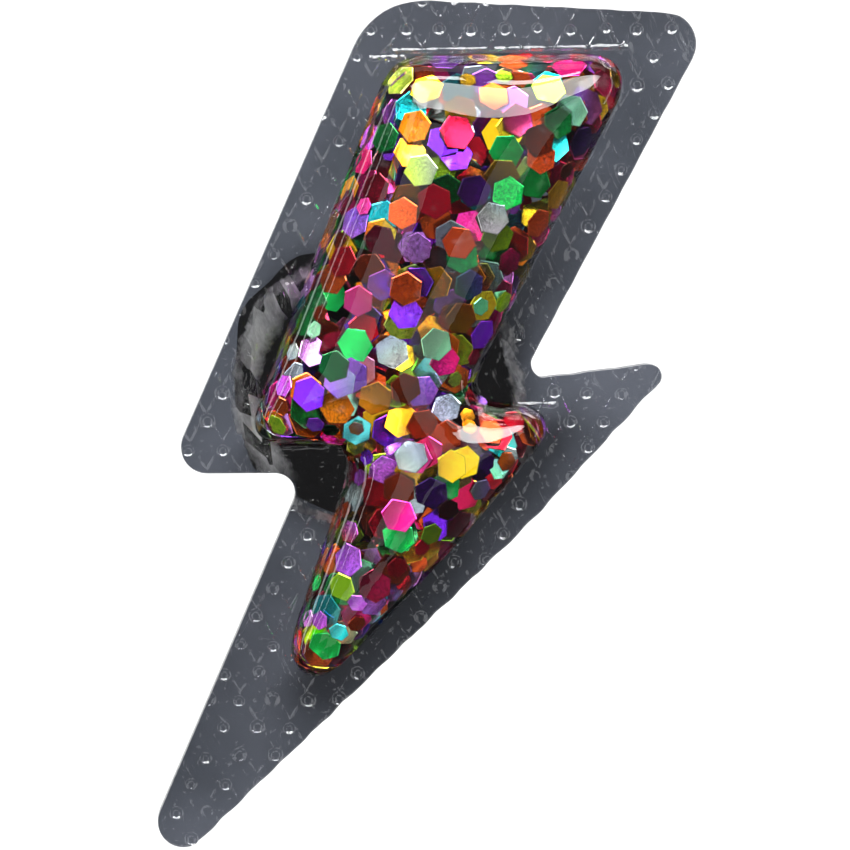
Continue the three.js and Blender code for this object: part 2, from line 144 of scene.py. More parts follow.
def linear(hex_colour):
    """The linear colour of an sRGB hex string."""
    parts = [int(hex_colour[i:i + 2], 16) / 255 for i in (1, 3, 5)]
    return tuple(c / 12.92 if c <= 0.04045 else ((c + 0.055) / 1.055) ** 2.4 for c in parts)


def frame_point(x, z, depth):
    """A point on the badge's face, in metres in the frame."""
    return (x * MM, -depth * MM, z * MM)


# ---------------------------------------------------------------- shapes taken from the CAD
def flat_front(node):
    """Depth and border loops, outermost first, of the largest flat face of a node that looks forwards."""
    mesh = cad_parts[node].data
    layers = {}
    for face in mesh.polygons:
        if face.normal.y < -0.999:
            layers.setdefault(round(-face.center.y / MM, 2), []).append(face)
    depth, faces = max(layers.items(), key=lambda item: sum(face.area for face in item[1]))
    edges = {}
    for face in faces:
        spots = [mesh.vertices[i].co / MM for i in face.vertices]
        spots = [(round(p.x, 3), round(p.z, 3)) for p in spots]
        for a, b in zip(spots, spots[1:] + spots[:1]):
            edges[(a, b)] = True
    after = {a: b for a, b in edges if (b, a) not in edges}
    loops = []
    while after:
        loop = [next(iter(after))]
        while loop[-1] in after:
            loop.append(after.pop(loop[-1]))
        loops.append(np.array(loop[:-1]))
    return depth, sorted(loops, key=lambda loop: -np.ptp(loop[:, 1]))


def depth_range(node):
    """Back and front depth of a node, in millimetres."""
    low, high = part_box(node)
    return -high.y / MM, -low.y / MM


flange_front, (flange_loop, foot_loop, *_) = flat_front("front_film")
film_back, crown_front = depth_range("front_film")
backing_back, backing_front = depth_range("back_film")
blister_rise = crown_front - flange_front


def resampled(loop, step):
    """A closed loop again, with points an even step apart."""
    closed = np.vstack([loop, loop[:1]])
    lengths = np.hypot(*np.diff(closed, axis=0).T)
    along = np.concatenate([[0], np.cumsum(lengths)])
    places = np.linspace(0, along[-1], max(8, round(along[-1] / step)), endpoint=False)
    return np.stack([np.interp(places, along, closed[:, i]) for i in (0, 1)], axis=1)


def loop_normals(loop):
    """Unit normals of a closed loop, outwards if it runs anticlockwise."""
    along = np.roll(loop, -1, axis=0) - np.roll(loop, 1, axis=0)
    along /= np.hypot(*along.T)[:, None]
    return np.stack([along[:, 1], -along[:, 0]], axis=1)


def anticlockwise(loop):
    x, z = loop.T
    area = np.sum(x * np.roll(z, -1) - np.roll(x, -1) * z)
    return loop if area > 0 else loop[::-1]


def signed_distance(loop, points):
    """Distance of points to a closed loop, positive inside."""
    nearest = np.full(len(points), np.inf)
    inside = np.zeros(len(points), bool)
    for p, q in zip(loop, np.roll(loop, -1, axis=0)):
        d = q - p
        t = np.clip(((points - p) @ d) / max(d @ d, 1e-12), 0, 1)
        nearest = np.minimum(nearest, np.hypot(*(points - p - t[:, None] * d).T))
        if p[1] != q[1]:
            crosses = (p[1] > points[:, 1]) != (q[1] > points[:, 1])
            inside ^= crosses & (points[:, 0] < p[0] + (points[:, 1] - p[1]) * d[0] / d[1])
    return np.where(inside, nearest, -nearest)


class Grid:
    """A value for each spot of an even grid over the badge, read between the spots."""

    def __init__(self, loop, margin=1.5):
        self.low = loop.min(axis=0) - margin
        high = loop.max(axis=0) + margin
        self.shape = tuple(np.ceil((high - self.low) / FIELD_PITCH).astype(int) + 1)
        ticks = [self.low[i] + FIELD_PITCH * np.arange(self.shape[i]) for i in (0, 1)]
        self.points = np.stack(np.meshgrid(*ticks, indexing="ij"), axis=-1).reshape(-1, 2)
        self.values = np.zeros(self.shape)

    def blur(self, sigma):
        """Smooths the values. A straight edge of a distance field stays where it is."""
        reach = int(3 * sigma / FIELD_PITCH)
        offsets = np.arange(-reach, reach + 1) * FIELD_PITCH
        kernel = np.exp(-0.5 * (offsets / sigma) ** 2)
        kernel /= kernel.sum()
        padded = np.pad(self.values, reach, mode="reflect", reflect_type="odd")
        rows = sum(k * padded[i:i + self.shape[0]] for i, k in enumerate(kernel))
        self.values = sum(k * rows[:, i:i + self.shape[1]] for i, k in enumerate(kernel))

    def at(self, points):
        place = (np.asarray(points, float) - self.low) / FIELD_PITCH
        place = np.clip(place, 0, np.array(self.shape) - 1.001)
        i, j = place.astype(int).T
        u, v = (place - place.astype(int)).T
        f = self.values
        low = f[i, j] * (1 - u) + f[i + 1, j] * u
        high = f[i, j + 1] * (1 - u) + f[i + 1, j + 1] * u
        return low * (1 - v) + high * v

    def uphill(self, points):
        """Unit direction in which the value rises fastest."""
        points = np.asarray(points, float)
        step = FIELD_PITCH
        slope = np.stack([
            self.at(points + (step, 0)) - self.at(points - (step, 0)),
            self.at(points + (0, step)) - self.at(points - (0, step)),
        ], axis=1)
        return slope / np.maximum(np.hypot(*slope.T), 1e-9)[:, None]


foot_loop = anticlockwise(foot_loop)
flange_loop = anticlockwise(flange_loop)
inside_foot = Grid(flange_loop)
inside_foot.values = signed_distance(foot_loop, inside_foot.points).reshape(inside_foot.shape)
inside_foot.blur(ROUNDING)


def unevenness(points, scale, layer):
    """Smooth noise at each point. Layers are unlike one another."""
    return np.array([noise.noise((x * scale, z * scale, layer)) for x, z in points])


def crown_depth(points, inset=0.0):
    """Depth of the blister's skin, or of a surface an inset below it."""
    d = np.clip((inside_foot.at(points) - inset) / SHOULDER, 0, 1)
    rise = blister_rise * (1 - (1 - d) ** SHOULDER_POWER) ** (1 / SHOULDER_POWER)
    wave = unevenness(points, 0.42, 3.1)
    x, z = np.asarray(points, float).T
    slide = np.clip((z - SAG_START) / SAG_LENGTH, 0, 1)
    rise = rise - SAG * slide * slide * np.exp(-(((x - SAG_MIDDLE) / SAG_WIDTH) ** 2))
    return flange_front + rise + CROWN_WAVE * wave * np.minimum(1, 2 * d) - inset * (d > 0)


# ---------------------------------------------------------------- mesh making
def new_object(name, vertices, faces):
    mesh = bpy.data.meshes.new(name)
    mesh.from_pydata([tuple(v) for v in vertices], [], [tuple(f) for f in faces])
    mesh.update()
    made = bpy.data.objects.new(name, mesh)
    bpy.context.scene.collection.objects.link(made)
    return made


def smooth(piece, angle):
    mesh = piece.data
    mesh.polygons.foreach_set("use_smooth", [True] * len(mesh.polygons))
    mesh.set_sharp_from_angle(angle=math.radians(angle))
    return piece


def triangulated(rim, others):
    """Points and triangles inside a closed rim, through the other points."""
    points = [Vector(p) for p in rim] + [Vector(p) for p in others]
    edges = [(i, (i + 1) % len(rim)) for i in range(len(rim))]
    made = delaunay_2d_cdt(points, edges, [], 1, 1e-7)
    flat = np.array([tuple(p) for p in made[0]])
    triangles = np.array([tuple(t) for t in made[2]])
    a, b, c = (flat[triangles[:, i]] for i in range(3))
    turn = (b[:, 0] - a[:, 0]) * (c[:, 1] - a[:, 1]) - (b[:, 1] - a[:, 1]) * (c[:, 0] - a[:, 0])
    triangles[turn < 0] = triangles[turn < 0][:, ::-1]
    return flat, triangles[np.abs(turn) > 1e-12]


def sheet_object(name, flat, triangles, front, back):
    """A closed sheet between two depths, each given for every flat point."""
    count = len(flat)
    vertices = [frame_point(x, z, d) for (x, z), d in zip(flat, front)]
    vertices += [frame_point(x, z, d) for (x, z), d in zip(flat, back)]
    edges = {}
    for a, b, c in triangles.tolist():
        for edge in ((a, b), (b, c), (c, a)):
            edges[edge] = True
    rim = [(a, b) for a, b in edges if (b, a) not in edges]
    faces = triangles.tolist()
    faces += [(c + count, b + count, a + count) for a, b, c in triangles.tolist()]
    faces += [(b, a, a + count, b + count) for a, b in rim]
    return new_object(name, vertices, faces)


# ---------------------------------------------------------------- the films
def glue_mask(points):
    """Where glue has spoilt the border's embossing: 1 over the pad, falling to 0 outside."""
    spread = np.hypot(*np.asarray(points).T)
    return np.clip((GLUE_WET + 1.0 - spread) / 0.9, 0, 1)


def scalloped_rim():
    """The cut edge: clean on the left, wavy along the lower right and a little along the top."""
    rim = resampled(flange_loop, EDGE_STEP)
    out = loop_normals(rim)
    lower_right = np.clip((out @ np.array([0.71, -0.71]) - 0.97) / 0.02, 0, 1)
    top = np.clip((out[:, 1] - 0.85) / 0.1, 0, 1) * 0.6
    right = np.clip((out @ np.array([0.88, -0.47]) - 0.93) / 0.05, 0, 1) * 0.3
    along = np.concatenate([[0], np.cumsum(np.hypot(*np.diff(rim, axis=0).T))])
    wave = 0.5 - 0.5 * np.cos(2 * np.pi * along / SCALLOP_LENGTH)
    rough = 0.5 + 0.5 * unevenness(rim, 1.3, 7.7)
    cut = SCALLOP * np.maximum.reduce([lower_right, top, right]) * (0.55 * wave + 0.75 * rough)
    return rim - out * cut[:, None]


def pit_places():
    """The embossing's staggered rows, with each pit's own size and depth."""
    rng = random.Random(SEED)
    low, high = flange_loop.min(axis=0), flange_loop.max(axis=0)
    places = []
    rows = int((high[1] - low[1]) / PIT_DOWN) + 2
    columns = int((high[0] - low[0]) / PIT_ACROSS) + 3
    for row in range(rows):
        for column in range(columns):
            x = low[0] + (column - 0.5 * (row % 2)) * PIT_ACROSS + rng.uniform(-0.12, 0.12)
            z = low[1] + PIT_START + row * PIT_DOWN + rng.uniform(-0.1, 0.1)
            size = rng.uniform(0.75, 1.1)
            deep = rng.choice((0.3, 0.7, 0.9, 1.0, 1.0, 1.2))
            places.append((x, z, size, deep))
    spots = np.array([place[:2] for place in places])
    keep = inside_foot.at(spots) < -0.55
    keep &= signed_distance(flange_loop, spots) > -0.2
    return [place for place, kept in zip(places, keep) if kept]


pits = pit_places()


def border_points():
    """Points for the border: an even scatter, with rings of their own round each pit and the bead."""
    points = []
    low, high = flange_loop.min(axis=0), flange_loop.max(axis=0)
    for i, z in enumerate(np.arange(low[1], high[1], BORDER_STEP * 0.87)):
        for x in np.arange(low[0] + 0.5 * BORDER_STEP * (i % 2), high[0], BORDER_STEP):
            points.append((x, z))
    points = np.array(points)
    spots = np.array([place[:2] for place in pits])
    sizes = np.array([place[2] for place in pits]) * PIT_RADIUS
    for spot, size in zip(spots, sizes):
        points = points[np.hypot(*(points - spot).T) > size * 1.45]
    rings = [points]
    for spot, size in zip(spots, sizes):
        for share, count in PIT_RINGS:
            turn = 2 * np.pi * (np.arange(count) + 0.5 * share) / count
            rings.append(spot + size * share * np.stack([np.cos(turn), np.sin(turn)], axis=1))
    foot = resampled(foot_loop, RING_STEP)
    for offset in (0.15, 0.3, 0.36, 0.42, 0.46, 0.5, 0.54, 0.58, 0.64, 0.7):
        rings.append(at_level(foot, -offset))
    for start, end in np.array(CREASES):
        along = (end - start) / np.linalg.norm(end - start)
        beside = np.array([-along[1], along[0]])
        count = int(np.linalg.norm(end - start) / 0.14)
        line = start + np.linspace(0, 1, count)[:, None] * (end - start)
        rings += [line + beside * offset for offset in CREASE_OFFSETS]
    return np.vstack(rings)


def crease_height(flat):
    """Height of the rough straight creases at each point."""
    height = np.zeros(len(flat))
    rough = unevenness(flat, 3.6, 2.2)
    for start, end in np.array(CREASES):
        line = end - start
        share = np.clip(((flat - start) @ line) / (line @ line), 0, 1)
        away = np.hypot(*(flat - start - share[:, None] * line).T)
        fading = np.exp(-((away / CREASE_WIDTH) ** 2))
        height = np.maximum(height, CREASE_HEIGHT * np.clip(1.0 + 0.8 * rough, 0.6, 1.5) * fading)
    return height


def glue_and_painted_shade(flat):
    """How much light the backing film passes at each point, beside its usual amount. Partly painted shade:
    a dark halo beside the blister on its lower right side, as if its shadow fell there. It is also darker
    towards the bottom and at the very top, and darker where glue lies behind.
    """
    x, z = flat.T
    outwards = -inside_foot.uphill(flat)
    # near and side make the painted shade beside the blister; lower darkens towards the bottom and the
    # very top; glued darkens where the glue lies behind
    near = np.exp(-((np.minimum(inside_foot.at(flat), 0) / 2.2) ** 2))
    side = np.clip(outwards @ np.array(PAINTED_SHADE_SIDE) + 0.1, 0, 1) * np.clip((13 - z) / 7, 0.1, 1)
    lower = 0.24 * np.exp(-(((z + 14) / 8) ** 2)) + 0.06 * np.clip((z - 18.5) / 1.5, 0, 1)
    glued = np.exp(-((np.maximum(np.hypot(x, z) - GLUE_WET, 0) / 1.6) ** 2))
    glued *= np.clip((x + 7) / 1.5, 0, 1)
    return (1.05 - lower) * (1 - 0.5 * near * side) * (1 - 0.45 * glued)


def at_level(points, level):
    """Points moved straight to where the blister's distance field has a level."""
    moved = np.array(points, float)
    for _ in range(5):
        moved += (level - inside_foot.at(moved))[:, None] * inside_foot.uphill(moved)
    return moved[np.abs(inside_foot.at(moved) - level) < 0.02]


def thinned(points, spacing):
    """Points with those too close to an earlier one left out."""
    seen, kept = {}, []
    for p in points:
        cell = tuple(np.floor(p / spacing).astype(int))
        near = (seen.get((cell[0] + i, cell[1] + j)) for i in (-1, 0, 1) for j in (-1, 0, 1))
        if any(q is not None and np.hypot(*(p - q)) < spacing for q in near):
            continue
        seen[cell] = p
        kept.append(p)
    return np.array(kept)


def blister_points(rings=WALL_RINGS):
    """Points for the blister: rings that follow the wall, and an even scatter over the crown."""
    foot = resampled(foot_loop, RING_STEP)
    wall = [at_level(foot, level) for level in rings if level < 0.6]
    inner = [at_level(foot, level) for level in rings if level >= 0.6]
    low, high = foot_loop.min(axis=0), foot_loop.max(axis=0)
    scatter = np.array([
        (x + 0.5 * CROWN_STEP * (i % 2), z)
        for i, z in enumerate(np.arange(low[1], high[1], CROWN_STEP * 0.87))
        for x in np.arange(low[0], high[0], CROWN_STEP)
    ])
    scatter = scatter[inside_foot.at(scatter) > rings[-1] + 0.1]
    return np.vstack(wall + [thinned(np.vstack(inner + [scatter]), 0.14)])


def border_depth(flat):
    """Depth of the border's front: bead, pits, glue wrinkles and a soft unevenness."""
    d = inside_foot.at(flat)
    depth = np.full(len(flat), flange_front)
    spoilt = glue_mask(flat)
    rough = unevenness(flat, 0.5, 1.3)
    fine = unevenness(flat, 2.1, 9.3)
    depth += BEAD_HEIGHT * (0.7 + 0.6 * rough) * np.exp(-(((d + BEAD_OFFSET) / BEAD_WIDTH) ** 2))
    depth += 0.03 * rough + 0.012 * fine + crease_height(flat)
    for x, z, size, deep in pits:
        away = np.hypot(*(flat - (x, z)).T) / (PIT_RADIUS * size)
        near = away < 1.3
        bowl = np.clip((1 - away[near]) / PIT_WALL, 0, 1)
        depth[near] -= PIT_DEPTH * deep * bowl * (1 - 0.95 * spoilt[near])
    ridged = 1 - np.abs(unevenness(flat, 1.6, 5.0)) * 3
    depth += 0.07 * np.clip(ridged, 0, 1) * spoilt * (1 - spoilt) * 4
    return depth


def make_films():
    """The front film with its blister, and the backing film that shares its cut edge."""
    rim = scalloped_rim()
    border = border_points()
    border = border[(inside_foot.at(border) < -0.05)]
    border = border[signed_distance(rim, border) > 0.07]
    border = thinned(border, 0.045)
    flat, triangles = triangulated(rim, np.vstack([border, blister_points()]))
    d = inside_foot.at(flat)
    on_blister = d >= 0
    front = np.where(on_blister, crown_depth(flat), border_depth(flat))
    front[np.abs(d) < 0.005] = flange_front
    inner = crown_depth(flat, BLISTER_WALL)
    back = np.where(d > BLISTER_WALL + 0.001, inner, film_back)
    film = sheet_object("blister_film", flat, triangles, front, back)
    count = len(triangles)
    middle = d[triangles].mean(axis=1)
    slots = np.full(len(film.data.polygons), 2)
    slots[:count] = np.where(middle > 0, 0, 1)
    slots[2 * count:] = 1
    film.data.polygons.foreach_set("material_index", slots.astype(np.int32))
    smooth(film, 50)

    plain = blister_points((0.0, 0.6, 1.2, 2.2))
    flat, triangles = triangulated(rim, np.vstack([border, plain]))
    texture = np.where(inside_foot.at(flat) < 0, border_depth(flat) - flange_front, 0)
    backing = sheet_object(
        "backing_film", flat, triangles,
        np.full(len(flat), backing_front), backing_back - 0.35 * texture - 0.03,
    )
    smooth(backing, 50)
    slots = np.ones(len(backing.data.polygons))
    slots[:len(triangles)] = 0
    backing.data.polygons.foreach_set("material_index", slots.astype(np.int32))
    # The backing's painted shade, with the glue's darkening, carried as a colour attribute
    light_passed_with_painted_shade = np.tile(glue_and_painted_shade(flat), 2)
    layer = backing.data.color_attributes.new("smoke", "FLOAT_COLOR", "POINT")
    layer.data.foreach_set("color", np.stack([light_passed_with_painted_shade] * 3 + [np.ones(len(light_passed_with_painted_shade))], axis=1).ravel())
    return film, backing


def make_gel():
    """The clear filling, just inside the blister's skin and down to the backing film."""
    levels = [level for level in WALL_RINGS if level > BLISTER_WALL]
    rim = at_level(resampled(foot_loop, RING_STEP), BLISTER_WALL + 0.02)
    rim = thinned(rim, 0.1)
    points = blister_points(tuple(levels))
    points = points[inside_foot.at(points) > BLISTER_WALL + 0.04]
    flat, triangles = triangulated(rim, points)
    front = crown_depth(flat, BLISTER_WALL + 0.015)
    back = np.full(len(flat), film_back + 0.02)
    return smooth(sheet_object("clear_gel", flat, triangles, front, back), 50)


# ---------------------------------------------------------------- the glitter
def plane_axes(slope):
    """Unit normal and two in-plane directions of a plane with a slope in x and in z."""
    normal = np.array([-slope[0], -slope[1], 1.0])
    normal /= np.linalg.norm(normal)
    side_a = np.array([normal[2], 0.0, -normal[0]])
    side_a /= np.linalg.norm(side_a)
    return normal, side_a, np.cross(normal, side_a)


def hexagon_offsets(turn):
    """Unit directions to a hexagon's six corners."""
    angles = turn + np.arange(6) * math.pi / 3
    return np.stack([np.cos(angles), np.sin(angles)], axis=1)


class Pile:
    """Flakes dropped one after another on to the backing film, each lying on those below it."""

    def __init__(self):
        grid = Grid(foot_loop, margin=0.5)
        self.grid = grid
        d = inside_foot.at(grid.points)
        room = crown_depth(grid.points, BLISTER_WALL) - SKIN_GAP
        self.top = np.full(grid.shape, film_back + PILE_FLOOR)
        self.open_roof = np.where(d > BLISTER_WALL + 0.1, room, 0).reshape(grid.shape)
        self.roof = self.open_roof.copy()
        self.flakes = []
        self.held = []

    def cells(self, x, z, turn, radius, slope=(0.0, 0.0)):
        """Grid cells under a tilted hexagon, and their places measured from its middle."""
        low = self.grid.low
        i0, j0 = int((x - radius - low[0]) / FIELD_PITCH), int((z - radius - low[1]) / FIELD_PITCH)
        span = int(2 * radius / FIELD_PITCH) + 2
        i = np.clip(np.arange(i0, i0 + span), 0, self.grid.shape[0] - 1)
        j = np.clip(np.arange(j0, j0 + span), 0, self.grid.shape[1] - 1)
        i, j = (a.ravel() for a in np.meshgrid(i, j, indexing="ij"))
        u = low[0] + i * FIELD_PITCH - x
        v = low[1] + j * FIELD_PITCH - z
        spots = np.stack([u, v, slope[0] * u + slope[1] * v], axis=1)
        normal, side_a, side_b = plane_axes(slope)
        flats = turn + math.pi / 6 + np.arange(3) * math.pi / 3
        reach = np.abs(np.outer(spots @ side_a, np.cos(flats)) + np.outer(spots @ side_b, np.sin(flats)))
        inside = reach.max(axis=1) < radius * math.cos(math.pi / 6)
        return i[inside], j[inside], u[inside], v[inside]

    def hold(self, x, z, radius, back, front):
        """Keeps room for a flake that the CAD holds, with the pile below it at first."""
        i, j = self.cells(x, z, 0.0, radius)[:2]
        self.roof[i, j] = np.minimum(self.roof[i, j], back)
        self.held.append((i, j, front))

    def bury_held(self):
        """Lets the pile go on above the flakes that the CAD holds."""
        self.roof = self.open_roof.copy()
        for i, j, front in self.held:
            self.top[i, j] = np.maximum(self.top[i, j], front)

    def drop(self, x, z, turn, radius, lean):
        """Lays a flake on what is below it."""
        i, j, u, v = self.cells(x, z, turn, radius)
        under = self.top[i, j]
        slope = np.linalg.lstsq(np.stack([np.ones_like(u), u, v], axis=1), under, rcond=None)[0][1:]
        slope = slope * LIE_SHARE + lean
        steep = np.hypot(*slope) / math.tan(math.radians(FLAKE_LEAN))
        slope = slope / max(1.0, steep)
        i, j, u, v = self.cells(x, z, turn, radius, slope)
        plane = slope[0] * u + slope[1] * v
        back = np.max(self.top[i, j] - plane) + FLAKE_GAP
        top = back + plane + FLAKE_THICKNESS * 1.05
        if np.any(top > self.roof[i, j]):
            return
        self.top[i, j] = top
        self.flakes.append((x, z, back, slope, turn, radius))

    def hang(self, x, z, turn, radius, lean, sunk):
        """Floats a flake in the gel, along the skin above it and sunk a little below it."""
        step = 0.4
        spots = [(x + step, z), (x - step, z), (x, z + step), (x, z - step)]
        east, west, up, down = crown_depth(spots, BLISTER_WALL)
        slope = np.array([east - west, up - down]) / (2 * step) + lean
        slope /= max(1.0, np.hypot(*slope) / HANG_LEAN)
        i, j, u, v = self.cells(x, z, turn, radius, slope)
        if np.any(self.open_roof[i, j] <= 0):
            return
        plane = slope[0] * u + slope[1] * v
        thick = FLAKE_THICKNESS * math.hypot(1.0, *slope)
        back = np.min(self.open_roof[i, j] - plane) - sunk - thick
        if np.any(back + plane < self.top[i, j] + FLAKE_GAP):
            return
        self.top[i, j] = back + plane + thick
        self.flakes.append((x, z, back, slope, turn, radius))


def flake_plate(centre, axes, turn, radius):
    """Corners of a thin hexagonal plate: its back ring, its front ring, and the ring of its face."""
    normal, side_a, side_b = axes
    offsets = [c * side_a + s * side_b for c, s in hexagon_offsets(turn)]
    back = [centre + radius * offset for offset in offsets]
    front = [centre + radius * offset + normal * FLAKE_THICKNESS * 0.75 for offset in offsets]
    face = [centre + radius * FACE_SHARE * offset + normal * FLAKE_THICKNESS for offset in offsets]
    return back + front + face


PLATE_SIDES = [(i, (i + 1) % 6, (i + 1) % 6 + 6, i + 6) for i in range(6)]
PLATE_BEVEL = [(i + 6, (i + 1) % 6 + 6, (i + 1) % 6 + 12, i + 12) for i in range(6)]
PLATE_FACES = [(5, 4, 3, 2, 1, 0), (12, 13, 14, 15, 16, 17)] + PLATE_SIDES + PLATE_BEVEL


def wall_room(x, z):
    """How far a flake's middle keeps from the blister's wall: the most along its lower right side."""
    outwards = -inside_foot.uphill([(x, z)])[0]
    facing = float(np.clip(outwards @ np.array(BARE_SIDE) - 0.5, 0, 0.5))
    return BARE_WIDTH * 2 * facing


def pile_flakes(rng):
    """Flakes of the pile, as corner lists in badge coordinates (x, z, depth)."""
    pile = Pile()
    for name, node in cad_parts.items():
        if not name.startswith("flake_"):
            continue
        low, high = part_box(name)
        middle = (low + high) / 2 / MM
        pile.hold(middle.x, middle.z, FLAKE_RADIUS + 0.08, -high.y / MM, -low.y / MM)
    low, high = foot_loop.min(axis=0), foot_loop.max(axis=0)
    for attempt in range(2 * FLAKE_TRIES):
        if attempt == FLAKE_TRIES:
            pile.bury_held()
        x, z = rng.uniform(low[0], high[0]), rng.uniform(low[1], high[1])
        turn = rng.uniform(0, math.pi / 3)
        lean = np.array([rng.gauss(0, 0.1), rng.gauss(0, 0.1)])
        inside = float(inside_foot.at([(x, z)])[0]) - wall_room(x, z)
        if inside < BLISTER_WALL + 0.5:
            continue
        size = rng.choice((1.0, 1.0, 1.0, 0.94, 1.05)) * min(1.0, (inside - 0.3) / 0.85)
        size *= FLAKE_RADIUS
        pile.drop(x, z, turn, size, lean)
    for attempt in range(HANG_TRIES + TIP_TRIES):
        top = high[1] if attempt < HANG_TRIES else low[1] + TIP_HEIGHT
        x, z = rng.uniform(low[0], high[0]), rng.uniform(low[1], top)
        inside = float(inside_foot.at([(x, z)])[0]) - wall_room(x, z)
        size = rng.choice((1.0, 1.0, 0.95)) * FLAKE_RADIUS
        if not 0.45 < inside < 3.6:
            continue
        if attempt > HANG_TRIES / 2 and inside < 1.6:
            size *= rng.choice((0.55, 0.7, 0.85))
        lean = np.array([rng.gauss(0, 0.07), rng.gauss(0, 0.07)])
        pile.hang(x, z, rng.uniform(0, math.pi / 3), size, lean, rng.uniform(0.0, 0.8))
    return [
        flake_plate(np.array([x, z, back]), plane_axes(slope), turn, radius)
        for x, z, back, slope, turn, radius in pile.flakes
    ]


def wall_flakes(rng):
    """Flakes that stand against the blister's wall."""
    made = []
    ring = at_level(resampled(foot_loop, WALL_FLAKE_STEP), BLISTER_WALL + 0.3)
    inward = inside_foot.uphill(ring)
    for level in (0.6, 1.2):
        for p, n in zip(ring, inward):
            if wall_room(*p) > 0.2 * BARE_WIDTH:
                continue
            shift = rng.uniform(-0.4, 0.4)
            along = np.array([-n[1], n[0]])
            spot = p + along * shift + n * (rng.uniform(0.0, 0.12) + 0.06 * level)
            depth = flange_front + level - 0.55 + rng.uniform(-0.3, 0.3)
            depth = max(depth, film_back + 0.08 + FLAKE_RADIUS)
            room = float(crown_depth([spot], BLISTER_WALL)[0]) - 0.1
            if depth + FLAKE_RADIUS * 0.9 > room:
                continue
            tilt = rng.uniform(-0.25, 0.1)
            normal = np.array([n[0], n[1], -tilt])
            normal /= np.linalg.norm(normal)
            side_a = np.array([along[0], along[1], 0.0])
            axes = (normal, side_a, np.cross(normal, side_a))
            centre = np.array([spot[0], spot[1], depth])
            made.append(flake_plate(centre, axes, rng.uniform(0, math.pi / 3), FLAKE_RADIUS))
    return made


def shade(rng, slot):
    """One flake's two colours, from one side of it to the other: most flakes only grow lighter or darker
    across, a painted sheen, and some shift to another colour.
    """
    base = np.array(linear(rng.choice(PALETTE[slot][1])))
    # Random brightness: partly the flake's own tone, partly painted light for lit and unlit flakes
    base = base * rng.choice(FLAKE_TONE_AND_PAINTED_LIGHT)
    base = base / max(1.0, base.max() / BRIGHTEST[slot == "silver"])
    if rng.random() < 0.2:
        other = np.array(linear(rng.choice(PALETTE[rng.choice(tuple(PALETTE))][1])))
        return base, base * 0.45 + other * 0.55
    # Painted sheen: the flake brightens or darkens from one side to the other
    return base, base * rng.uniform(0.7, 1.3)


def glitter_object(name, flakes, colours):
    """One piece for all the flakes of a colour, with each flake's shades in a colour attribute, brightened
    on its sides and bevel as a painted highlight.
    """
    vertices, faces, tones = [], [], []
    for corners, (one, two) in zip(flakes, colours):
        start = len(vertices)
        vertices += [frame_point(*p) for p in corners]
        middle = sum(corners) / len(corners)
        across = corners[0] - corners[3]
        shares = [0.5 + float((p - middle) @ across) / float(across @ across) for p in corners]
        for face in PLATE_FACES:
            faces.append(tuple(start + i for i in face))
            for i in face:
                tone = one * (1 - shares[i]) + two * shares[i]
                # Painted highlight: the sides and bevel of each flake are brightened and paled
                if len(face) == 4:
                    tone = tone * EDGE_PAINTED_HIGHLIGHT + EDGE_PAINTED_PALENESS
                tones.append((*tone, 1.0))
    made = new_object(name, vertices, faces)
    layer = made.data.color_attributes.new("tone", "FLOAT_COLOR", "CORNER")
    layer.data.foreach_set("color", np.array(tones, np.float32).ravel())
    return made


def make_glitter():
    """Every flake that the CAD doesn't hold, grouped by colour."""
    rng = random.Random(SEED)
    flakes = pile_flakes(rng) + wall_flakes(rng)
    slots = list(PALETTE)
    weights = [PALETTE[slot][0] for slot in slots]
    groups = {slot: [] for slot in slots}
    for corners in flakes:
        slot = rng.choices(slots, weights)[0]
        groups[slot].append((corners, shade(rng, slot)))
    return {
        slot: glitter_object("glitter_" + slot, [g[0] for g in group], [g[1] for g in group])
        for slot, group in groups.items() if group
    }


# ---------------------------------------------------------------- the pin back and its clutch
# Measured as in the CAD: out from the post's axis, and along the post from the pad's flat back.
PAD_RADIUS, PAD_THICKNESS = 6.1, 1.6
POST_RADIUS, POST_END = 0.55, 9.2
HEAD_RADIUS, HEAD_THICKNESS = 3.5, 0.5
PLATE_RADIUS, PLATE_START, PLATE_THICKNESS, RIM_END, PLATE_HOLE = 5.7, 2.4, 0.35, 3.35, 0.75
DIMPLES, DIMPLE_CIRCLE, DIMPLE_RADIUS, DIMPLE_DEPTH = 6, 4.1, 0.6, 0.22
WING_LINE = ((1.25, 0.0), (1.28, 1.2), (1.6, 2.6), (2.8, 3.75), (4.6, 4.3), (6.3, 4.35))
WING_START = 2.82
WING_THICKNESS, WING_ROOT, WING_EAR = 0.4, 1.8, 2.7
WING_FLARE = (1.85, 4.1)  # between these distances a wing widens from its root to its ear
SPRING_HEIGHT, SPRING_WIRE, SPRING_HALF, SPRING_LEG = 3.15, 0.17, 0.78, 2.4


def rounded(corners, chords=5):
    """A closed line through corners of (out, along, radius), with each corner rounded."""
    points = []
    for i, (x, y, radius) in enumerate(corners):
        here = np.array([x, y])
        before = np.array(corners[i - 1][:2]) - here
        after = np.array(corners[(i + 1) % len(corners)][:2]) - here
        before, after = before / np.linalg.norm(before), after / np.linalg.norm(after)
        if radius == 0:
            points.append(here)
            continue
        half = math.acos(float(np.clip(before @ after, -1, 1))) / 2
        middle = here + (before + after) / np.linalg.norm(before + after) * radius / math.sin(half)
        start = here + before * radius / math.tan(half) - middle
        end = here + after * radius / math.tan(half) - middle
        for k in range(chords + 1):
            spot = start * (1 - k / chords) + end * (k / chords)
            points.append(middle + spot / np.linalg.norm(spot) * radius)
    return points


